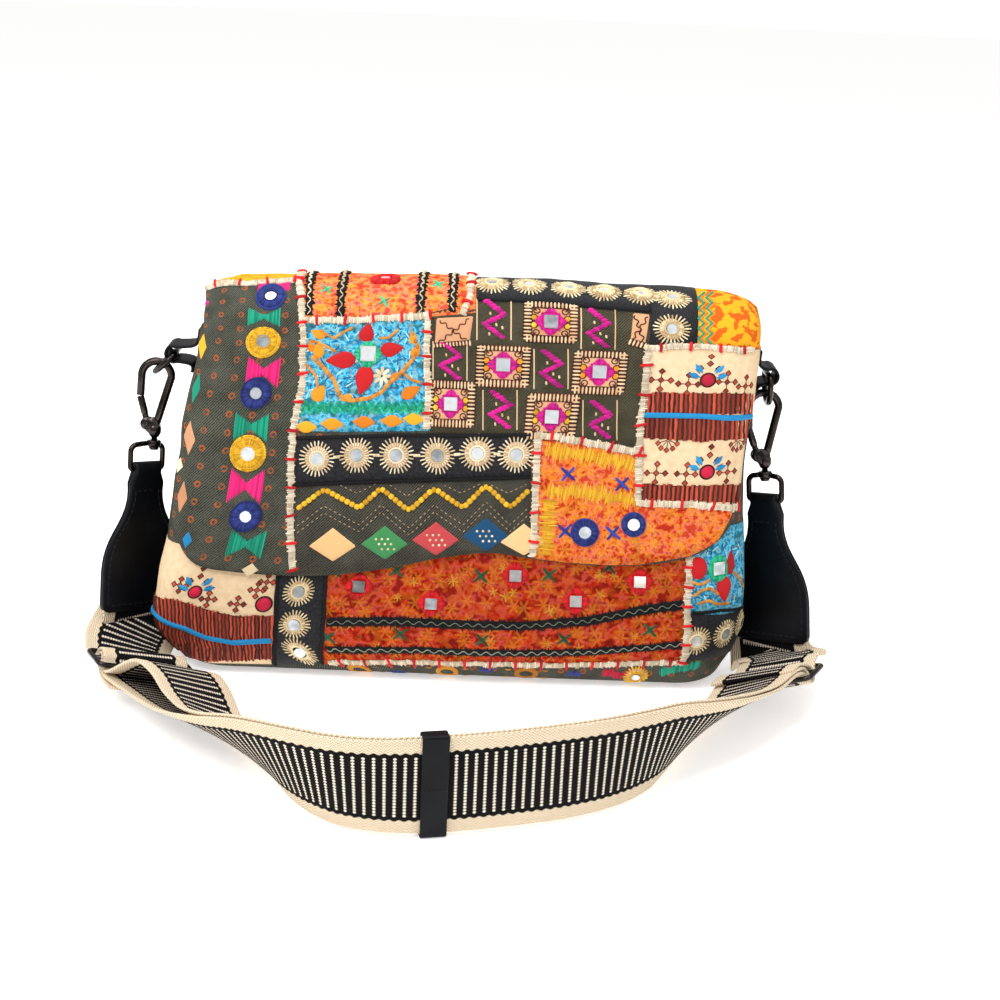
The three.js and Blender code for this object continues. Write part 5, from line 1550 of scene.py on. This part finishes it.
def webbing_route(name, far, turned):
    """Middle points and width directions of one webbing length, from its leather end to the far slider."""
    side = SIDES[name]
    place = np.array(loop_frame(side))
    mouth = LOOP_BAR - END_LENGTH
    heights = END_POCKET - 1, 9, 5, 1, -2.5, -6
    at = [place[:3, :3] @ (0, 0, mouth + up) + place[:3, 3] for up in heights]
    leather_wide = place[:3, 0] * side.sign
    wide = [leather_wide] * len(at)
    running, w = past_slider(name, RUNNING)
    sagging = at[-1] + (running[0] - at[-1]) * 0.55 + w * side.sway - (0, 0, 2)
    at += [sagging, *running]
    wide += [unit(leather_wide * 0.4 + w * 0.6), *[w] * len(running)]
    line, across, inward, _ = [a[::-1] if turned else a for a in strap_line(STRAP_STEPS)]
    off = np.full(len(line), -WEB_PITCH / 2)
    if not turned:
        arch = np.sin(np.pi * np.sqrt(np.minimum(gone_along(line) / ARCH_REACH, 1))) ** 2
        off = WEB_PITCH / 2 + ARCH_HEIGHT * arch
    layer = line + inward * off[:, None]
    at += list(layer[1:-1])
    wide += list(across[1:-1])
    looped, w = past_slider(far, LOOPED)
    return np.array(at + looped), np.array(wide + [w] * len(looped))


def strip(name, node, at, wide, width, thick, material, closed=False):
    """A flat strip with soft edges along a line of points; its flat coordinates run along and across."""
    at, wide = np.asarray(at, float), np.asarray(wide, float)
    along = unit(heading(at, closed))
    w = unit(wide - along * (wide * along).sum(1, keepdims=True))
    n = unit(np.cross(along, w))
    ring = STRIP_SECTION + [(s, inset, -h) for s, inset, h in STRIP_SECTION[::-1]]
    side = np.tile([s * (width / 2) - np.sign(s) * inset for s, inset, _ in ring], (len(at), 1))
    up = np.array([h for _, _, h in ring]) * thick / 2
    points = at[:, None] + w[:, None] * side[..., None] + n[:, None] * up[None, :, None]
    flat = np.stack([np.broadcast_to(gone_along(at)[:, None], side.shape), side], -1)
    rows, k = side.shape
    faces = band_faces(rows, k, closed, ring=True, flip=True)
    if not closed:
        faces += [tuple(range(k)), tuple((rows - 1) * k + a for a in range(k))[::-1]]
    obj = piece(name, points.reshape(-1, 3), faces, [material], None, flat.reshape(-1, 2))
    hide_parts(node)


# The webbing's weave, in millimetres from its middle line or along it.
RUNG_PITCH, RUNG_REACH, RUNG_BEADS = 4.84, 16.0, 3.2
BORDER_FROM, BORDER_FULL, BORDER_SCALLOP = 17.7, 18.1, 0.45
CHEVRON_PITCH, CHEVRON_LENGTH, RIB_PITCH = 1.45, 2.6, 1.25


def webbing_cloth():
    """Striped strap webbing: cream herringbone edges, and a black middle with cream rungs."""
    paint = Paint("striped_webbing", 0.9)
    _, along, across = paint.uv()
    edge = paint.math("ABSOLUTE", across)
    scallop = paint.scaled(paint.wave(along, RUNG_PITCH, "COSINE"), BORDER_SCALLOP, edge)
    border = paint.ranged(scallop, BORDER_FROM, BORDER_FULL)
    beads = paint.math("ABSOLUTE", paint.wave(across, RUNG_BEADS))
    rung_wide = paint.scaled(beads, 0.92, 0.02)
    rung = paint.ranged(paint.math("SUBTRACT", rung_wide, paint.repeat(along, RUNG_PITCH)), -0.1, 0.2)
    rung = paint.times(rung, paint.band(edge, -1.0, RUNG_REACH, 0.1))
    middle = paint.mix(rung, "0d0c0d", "e2d6c4")
    slant = paint.math("ADD", edge, paint.repeat(along, CHEVRON_LENGTH))
    chevron = paint.wave(slant, CHEVRON_PITCH)
    cream = paint.ramp(paint.scaled(chevron, 0.5, 0.5), [(0.0, "b39a78"), (0.5, "eadac0")])
    ribs = paint.wave(across, RIB_PITCH)
    height = paint.math("ADD", paint.times(chevron, border), paint.scaled(rung, 1.2, ribs))
    return paint.done(paint.mix(border, middle, cream), height, strength=0.5, distance=0.35)


def leather_finish(name, shade, worn):
    paint = Paint(name, 0.42, specular=0.14)
    spot = paint.node("ShaderNodeTexCoord", output="Object")
    grain = paint.node("ShaderNodeTexVoronoi", {"Vector": spot, "Scale": 1400.0}, feature="F1")
    tone = paint.ramp(paint.noise(spot, 60.0), [(0.35, shade), (0.75, worn)])
    return paint.done(tone, grain, strength=0.25, distance=0.12)


def gunmetal_finish():
    paint = Paint("gunmetal", 0.24, 1.0, specular=0.5)
    spot = paint.node("ShaderNodeTexCoord", output="Object")
    shade = paint.ramp(paint.noise(spot, 90.0, 4.0), [(0.35, "2c2827"), (0.7, "4b4543")])
    return paint.done(shade, paint.noise(spot, 400.0), strength=0.04, distance=0.1)


# Mirror glass: each mirror's shade, from dark grey to near white, and the patches across its face are
# painted reflection.
def mirror_with_painted_reflection():
    paint = Paint("old_mirror", 0.12, 0.6, specular=0.5)
    spot = paint.node("ShaderNodeTexCoord", output="Object")
    painted_reflection_patches = paint.noise(spot, 220.0)
    own = paint.node("ShaderNodeObjectInfo", output="Random")
    tone = paint.scaled(painted_reflection_patches, 0.5, paint.times(own, 0.6))
    shade = paint.ramp(tone, [(0.2, "787d80"), (0.5, "d4dade"), (0.8, "f7fafb")])
    return paint.done(shade, paint.noise(spot, 120.0), strength=0.25, distance=0.6)


WEBBING = webbing_cloth()
HIDE = leather_finish("black_leather", "050609", "0d0f14")
HIDE_THREAD = leather_finish("black_hide_thread", "14161b", "24262d")
GUNMETAL = gunmetal_finish()
PAINTED_REFLECTION_MIRROR = mirror_with_painted_reflection()

# Sides of round parts, and the form of a sewing stitch: place along it and its swell there.
ROD_SIDES, TURNED_SIDES, SEWN_SIDES = 14, 20, 6
SEWN_PLACES, SEWN_SWELL = np.array([0, 0.15, 0.5, 0.85, 1.0]), np.array([0.4, 0.85, 1.0, 0.85, 0.4])
SEWN_START = 0.4


class Solids:
    """Rods, turned and lofted parts, gathered for one piece and placed by a frame in millimetres."""

    def __init__(self, place=Matrix.Identity(4)):
        self.place = np.array(place)
        self.points, self.faces, self.marks = [], [], []
        self.count = 0

    def loft(self, rings, joined=False, mark=0):
        rings = np.asarray(rings, float)
        rows, n, _ = rings.shape
        faces = band_faces(rows, n, joined, ring=True)
        if not joined:
            faces += [tuple(range(n))[::-1], tuple((rows - 1) * n + k for k in range(n))]
        points = rings.reshape(-1, 3)
        corners = [(f[0], f[k], f[k + 1]) for f in faces for k in range(1, len(f) - 1)]
        if sum(np.dot(points[a], np.cross(points[b], points[c])) for a, b, c in corners) < 0:
            faces = [f[::-1] for f in faces]
        self.points.append(points)
        self.faces += [[self.count + k for k in f] for f in faces]
        self.marks += [mark] * len(faces)
        self.count += len(points)

    def rod(self, path, normal, radius, joined=False, sides=ROD_SIDES, mark=0):
        path, normal = np.asarray(path, float), np.asarray(normal, float)
        across = unit(np.cross(unit(heading(path, joined)), normal))
        turn = np.linspace(0, 2 * np.pi, sides, endpoint=False)
        reach = np.cos(turn)[None, :, None] * across[:, None] + np.sin(turn)[None, :, None] * normal
        radii = np.broadcast_to(radius, len(path))[:, None, None]
        self.loft(path[:, None] + reach * radii, joined, mark)

    def turned(self, profile, at, axis, joined=False):
        """Profile: radius and place along the axis."""
        axis = unit(np.asarray(axis, float))
        first = unit(np.cross(axis, (0.3, 0.5, 0.8)))
        second = np.cross(axis, first)
        turn = np.linspace(0, 2 * np.pi, TURNED_SIDES, endpoint=False)
        ring = np.cos(turn)[:, None] * first + np.sin(turn)[:, None] * second
        self.loft([np.asarray(at) + ring * r + axis * h for r, h in profile], joined)

    def disc(self, at, radius, thick):
        soft, half = min(0.35, thick / 4), thick / 2
        inner, flank = radius - soft, half - soft
        self.turned([(inner, -half), (radius, -flank), (radius, flank), (inner, half)], at, ALONG_Y)

    def stitches(self, path, normal, length=2.6, gap=1.1, wide=0.75, mark=1):
        """Sewing stitches along a path on a leather face."""
        path = np.asarray(path, float)
        gone = gone_along(path)
        for start in np.arange(SEWN_START, gone[-1] - length, length + gap):
            at = start + length * SEWN_PLACES
            line = np.stack([np.interp(at, gone, path[:, k]) for k in range(3)], -1)
            self.rod(line, normal, wide / 2 * SEWN_SWELL, sides=SEWN_SIDES, mark=mark)

    def make(self, name, materials, slot, node, body="bag"):
        points = np.concatenate(self.points) @ self.place[:3, :3].T + self.place[:3, 3]
        obj = piece(name, points, self.faces, materials, self.marks, body=body)
        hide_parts(node)


def arc(x, z, radius, start, end, steps=10):
    turn = np.radians(np.linspace(start, end, steps))
    return [(x + radius * math.cos(t), z + radius * math.sin(t)) for t in turn]


def upright(path):
    """Flat points as points in a frame's local XZ plane."""
    return np.array([(x, 0.0, z) for x, z in path])


def gusset_point(side, z, out):
    """A point in the tab's middle plane, off the gusset."""
    return np.array([side.sign * (smooth_rows(BODY, z)[1 if side.sign < 0 else 2] + out), TAB_Y, z])


def add_tab(name, side):
    """Leather loop sewn to the gusset."""
    fold = gusset_point(side, TAB_LEVEL, side.out)
    turns = np.radians(TAB_TURNS)
    bend = [fold + (side.sign * TAB_LOOP * math.cos(a), 0, TAB_LOOP * math.sin(a)) for a in turns]
    off = FIT + LEATHER / 2
    upper = [gusset_point(side, z, off + out) for z, out in TAB_UPPER]
    lower = [gusset_point(side, z, off + out) for z, out in TAB_LOWER]
    path = [*upper, *bend, *lower]
    at = smooth_curve(path, np.linspace(0, len(path) - 1, TAB_STEPS))
    wide = np.tile(ALONG_Y, (len(at), 1))
    strip(f"tab_leather_{name}", f"tab_{name}", at, wide, TAB_WIDTH, LEATHER, HIDE)


def add_ring(name, side):
    slope = math.radians(side.dip)
    out = np.array([side.sign * math.cos(slope), 0, -math.sin(slope)])
    start = gusset_point(side, TAB_LEVEL, side.out) - (0, 0, 0.6)
    path = [(0, 0), (0, RING_HALF - 1.9), (0.9, RING_HALF - 0.6), (RING_STRAIGHT, RING_HALF)]
    path += arc(RING_STRAIGHT, 0, RING_HALF, 88, -88, 26)
    path += [(RING_STRAIGHT, -RING_HALF), (0.9, -RING_HALF + 0.6), (0, -RING_HALF + 1.9)]
    ring = Solids()
    bent = [start + out * x + np.array(ALONG_Y) * y for x, y in path]
    ring.rod(bent, np.cross(out, ALONG_Y), WIRE / 2, True)
    ring.make(f"d_ring_metal_{name}", [GUNMETAL], "gunmetal", f"d_ring_{name}")


# The hook's knuckle and swivel post: radius, height.
HOOK_STEM = [
    (0.1, KNUCKLE_Z + 3), (2.6, KNUCKLE_Z + 1.2), (3.8, KNUCKLE_Z - 0.4), (3.8, KNUCKLE_Z - 3.6),
    (3.4, KNUCKLE_Z - 4.4), (2.6, NECK_Z), (POST, NECK_Z - 0.1), (POST, LOOP_TOP - 2.6),
    (HEAD, LOOP_TOP - 2.7), (2.4, LOOP_TOP - 4.4), (0.1, LOOP_TOP - 4.4),
]
CHEEK_Y, CHEEK_THICK, PIN_LENGTH = 2.45, 1.5, 7.2


def add_hook(name, side):
    hook = Solids(hook_frame(side))
    path = [(0.5, KNUCKLE_Z), (2.1, KNUCKLE_Z * 0.8), (5.3, KNUCKLE_Z * 0.4), (EYE_RADIUS, 0)]
    path += arc(0, 0, EYE_RADIUS, 6, 180, 24)
    path += [(-EYE_RADIUS - 0.28, SEAM_Z + 0.6), (-EYE_RADIUS - 0.3, SEAM_Z)]
    radius = np.full(len(path), ROD / 2)
    radius[-1] *= 0.93
    hook.rod(upright(path), ALONG_Y, radius)
    hook.turned(HOOK_STEM, (0, 0, 0), ALONG_Z)
    for y in (-CHEEK_Y, CHEEK_Y):
        hook.disc((PIVOT_X, y, PIVOT_Z), 3.7, CHEEK_THICK)
        hook.disc((-1.4, y, PIVOT_Z - 1), 4.4, CHEEK_THICK)
    hook.disc((PIVOT_X, 0, PIVOT_Z), 1.0, PIN_LENGTH)
    hook.make(f"hook_metal_{name}", [GUNMETAL], "gunmetal", f"hook_{name}")


# The gate's rod: place from the pivot to the tip, share of its radius.
GATE_ROD = [(1.0, 0.93), (0.97, 1.0), (0.7, 1.0), (0.42, 1.0), (0.34, 0.85), (0.3, 0.55)]
TONGUE_HALF, TONGUE_LENGTH, TONGUE_THICK = 1.6, 7, 1.25


def add_gate(name, side):
    gate = Solids(hook_frame(side))
    tip, pivot = np.array([-EYE_RADIUS - 0.3, SEAM_Z - 0.5]), np.array([PIVOT_X, PIVOT_Z])
    path = [pivot + (tip - pivot) * share for share, _ in GATE_ROD]
    gate.rod(upright(path), ALONG_Y, (ROD / 2 - 0.2) * np.array([swell for _, swell in GATE_ROD]))
    gate.disc((PIVOT_X, 0, PIVOT_Z), 2.6, 2.6)
    along = unit(tip - pivot)
    half, along = left_of(along) * TONGUE_HALF, along * TONGUE_LENGTH
    corners = [pivot - half, pivot + half, pivot + half + along, pivot - half + along]
    gate.loft([[(x, y, z) for x, z in corners] for y in (-TONGUE_THICK, TONGUE_THICK)])
    gate.make(f"gate_metal_{name}", [GUNMETAL], "gunmetal", f"gate_{name}", f"gate_{name}")


def add_loop(name, side):
    loop = Solids(loop_frame(side))
    half, top, bar = LOOP_HALF, LOOP_TOP, LOOP_BAR
    turn = -math.radians(side.swivel)
    post = (-side.shift * math.cos(turn), -side.shift * math.sin(turn), top - 0.6)
    path = [(post[0] - 3, top - 1), (-half + 4.6, top - 1.5)] + arc(-half + 4, top - 5.6, 4, 90, 180)
    path += arc(-half + 2, bar + 2, 2, 180, 270, 6) + arc(half - 2, bar + 2, 2, -90, 0, 6)
    path += arc(half - 4, top - 5.6, 4, 0, 90)
    path += [(half - 4.6, top - 1.5), (max(post[0], 0) + 2.4, top - 1)]
    loop.rod(upright(path), ALONG_Y, LOOP_WIRE / 2)
    bore = POST + FIT
    collar = [(bore, -1.7), (3.6, -1.7), (4.0, -1.3), (4.0, 1.3), (3.6, 1.7), (bore, 1.7)]
    loop.turned(collar, post, ALONG_Z, joined=True)
    loop.make(f"loop_metal_{name}", [GUNMETAL], "gunmetal", f"swivel_loop_{name}")


def add_slider(name, _):
    o, t, w, n = slider_frame(name)
    x, y, bend = SLIDER_HALF - SLIDER_BEND, SLIDER_BAR - SLIDER_BEND, SLIDER_BEND
    path = arc(x, y, bend, 90, 0, 7) + arc(x, -y, bend, 0, -90, 7)
    path += arc(-x, -y, bend, 270, 180, 7) + arc(-x, y, bend, 180, 90, 7)
    slider = Solids()
    slider.rod([o + w * x + t * y for x, y in path], n, SLIDER_RADIUS, True)
    slider.rod([o + w * x for x in (-SLIDER_HALF, 0, SLIDER_HALF)], n, SLIDER_RADIUS - 0.05)
    slider.make(f"slider_metal_{name}", [GUNMETAL], "gunmetal", f"slider_{name}")


# The flare of a leather end, as four points of its curve: half width, length below the loop's bar.
FLARE = np.array([(END_TOP / 2, 14), (END_TOP / 2 + 1, 34), (END_BOTTOM / 2, 36), (END_BOTTOM / 2, 62)])


def end_width(z):
    """Half width of the leather strap end at a height below the loop's bar."""
    t = np.linspace(0, 1, 40)
    wide, low = [(1 - t) ** 3 * a + 3 * (1 - t) ** 2 * t * b + 3 * (1 - t) * t**2 * c + t**3 * d
                 for a, b, c, d in FLARE.T]
    low = np.r_[-END_FOLD, 3, 6, low, END_LENGTH - END_CORNER]
    wide = np.r_[END_FIT / 2, END_FIT / 2, END_TOP / 2, wide, END_BOTTOM / 2]
    corner = np.clip((-z - END_LENGTH + END_CORNER) / END_CORNER, 0, 1)
    return np.interp(-z, low, wide) - END_CORNER * (1 - np.sqrt(1 - corner**2))


# Sewing of a leather end: inset of its sides, and height and inset of its two cross rows.
SEWN_INSET, SEWN_TOP, SEWN_OFF = 3.4, -12, 0.05
SEWN_ROWS = [(-12.5, 4.4), (-END_LENGTH + 4, 5.2)]


def add_strap_end(name, side):
    """Flared leather end, folded round the loop's bar and sewn along its border."""
    end = Solids(loop_frame(side) @ Matrix.Translation((0, 0, LOOP_BAR)))
    fold = END_FOLD * np.sin(np.radians([88, 70, 50, 30, 12, -8, -25]))
    low = -END_LENGTH + END_CORNER * (1 - np.sin(np.radians([0, 25, 45, 62, 76, 84, 89])))
    levels = np.r_[fold, -4, -8, -13, np.linspace(-16, -END_LENGTH + 7, 22), low]
    half = np.interp(-levels, [2, 13, 83], [3.8, END_THICK / 2, END_THICK / 2])
    half = np.where(levels > -2, np.sqrt(np.maximum(END_FOLD**2 - levels**2, 0.02)), half)
    section = END_SECTION + [(-s, inset, -h) for s, inset, h in END_SECTION]
    end.loft([[(s * w - np.sign(s) * min(inset, w / 3), h * t, z) for s, inset, h in section]
              for z, w, t in zip(levels, end_width(levels), half)])
    border = np.linspace(SEWN_TOP, -END_LENGTH + 4, 40)
    for face in (-1, 1):
        lift = face * (END_THICK / 2 * 1.01 + SEWN_OFF)
        for s in (-1, 1):
            end.stitches([(s * (end_width(z) - SEWN_INSET), lift, z) for z in border], (0, face, 0))
        for z, inset in SEWN_ROWS:
            reach = end_width(z) - inset
            end.stitches([(-reach, lift, z), (reach, lift, z)], (0, face, 0))
    end.make(f"strap_end_leather_{name}", [HIDE, HIDE_THREAD], "leather", f"strap_end_{name}")


def add_webbing(name, far, turned):
    at, wide = webbing_route(name, far, turned)
    steps = np.linspace(0, len(at) - 1, (len(at) - 1) * WEB_FINENESS + 1)
    whole = np.arange(len(at))
    wide = unit(np.stack([np.interp(steps, whole, wide[:, k]) for k in range(3)], -1))
    at = smooth_curve(at, steps)
    strip(f"webbing_cloth_{name}", f"webbing_{name}", at, wide, WEB_WIDTH, WEB_THICK, WEBBING)


def add_keeper():
    """Leather keeper round both webbing layers."""
    at, wide, inward, along = [a[round(KEEPER_ALONG * KEEPER_STEPS)] for a in strap_line(KEEPER_STEPS)]
    thick = KEEPER_THICK
    deep = WEB_PITCH / 2 + WEB_THICK / 2 + 2 * FIT + thick / 2
    tall = WEB_WIDTH / 2 + FIT + thick / 2
    inner_deep, inner_tall = deep - KEEPER_BEND, tall - KEEPER_BEND
    path = []
    for x, z, start in ((1, 1, 90), (1, -1, 0), (-1, -1, -90), (-1, 1, -180)):
        path += arc(x * inner_deep, z * inner_tall, KEEPER_BEND, start, start - 90, 5)
    points = np.array([at + inward * x + wide * z for x, z in path])
    directions = np.tile(along, (len(points), 1))
    strip("keeper_leather", "keeper", points, directions, KEEPER_WIDTH, thick, HIDE, True)
    seam_line = Solids()
    face = at - inward * (deep + thick / 2 + SEWN_OFF) - wide * KEEPER_SEAM_DROP
    ends = [face - along * KEEPER_SEAM_HALF, face + along * KEEPER_SEAM_HALF]
    seam_line.stitches(ends, -inward, length=1.7, gap=0.7, wide=0.6, mark=0)
    points = np.concatenate(seam_line.points)
    piece("keeper_stitches", points, seam_line.faces, [HIDE_THREAD])


for side_name, side_row in SIDES.items():
    for add in (add_tab, add_ring, add_hook, add_gate, add_loop, add_slider, add_strap_end):
        add(side_name, side_row)
add_webbing("left", "right", False)
add_webbing("right", "left", True)
add_keeper()
for node_name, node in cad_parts.items():
    if node_name.startswith("mirror_"):
        node.data.materials.clear()
        node.data.materials.append(PAINTED_REFLECTION_MIRROR)


add_floor()
add_backdrop()
add_lights()
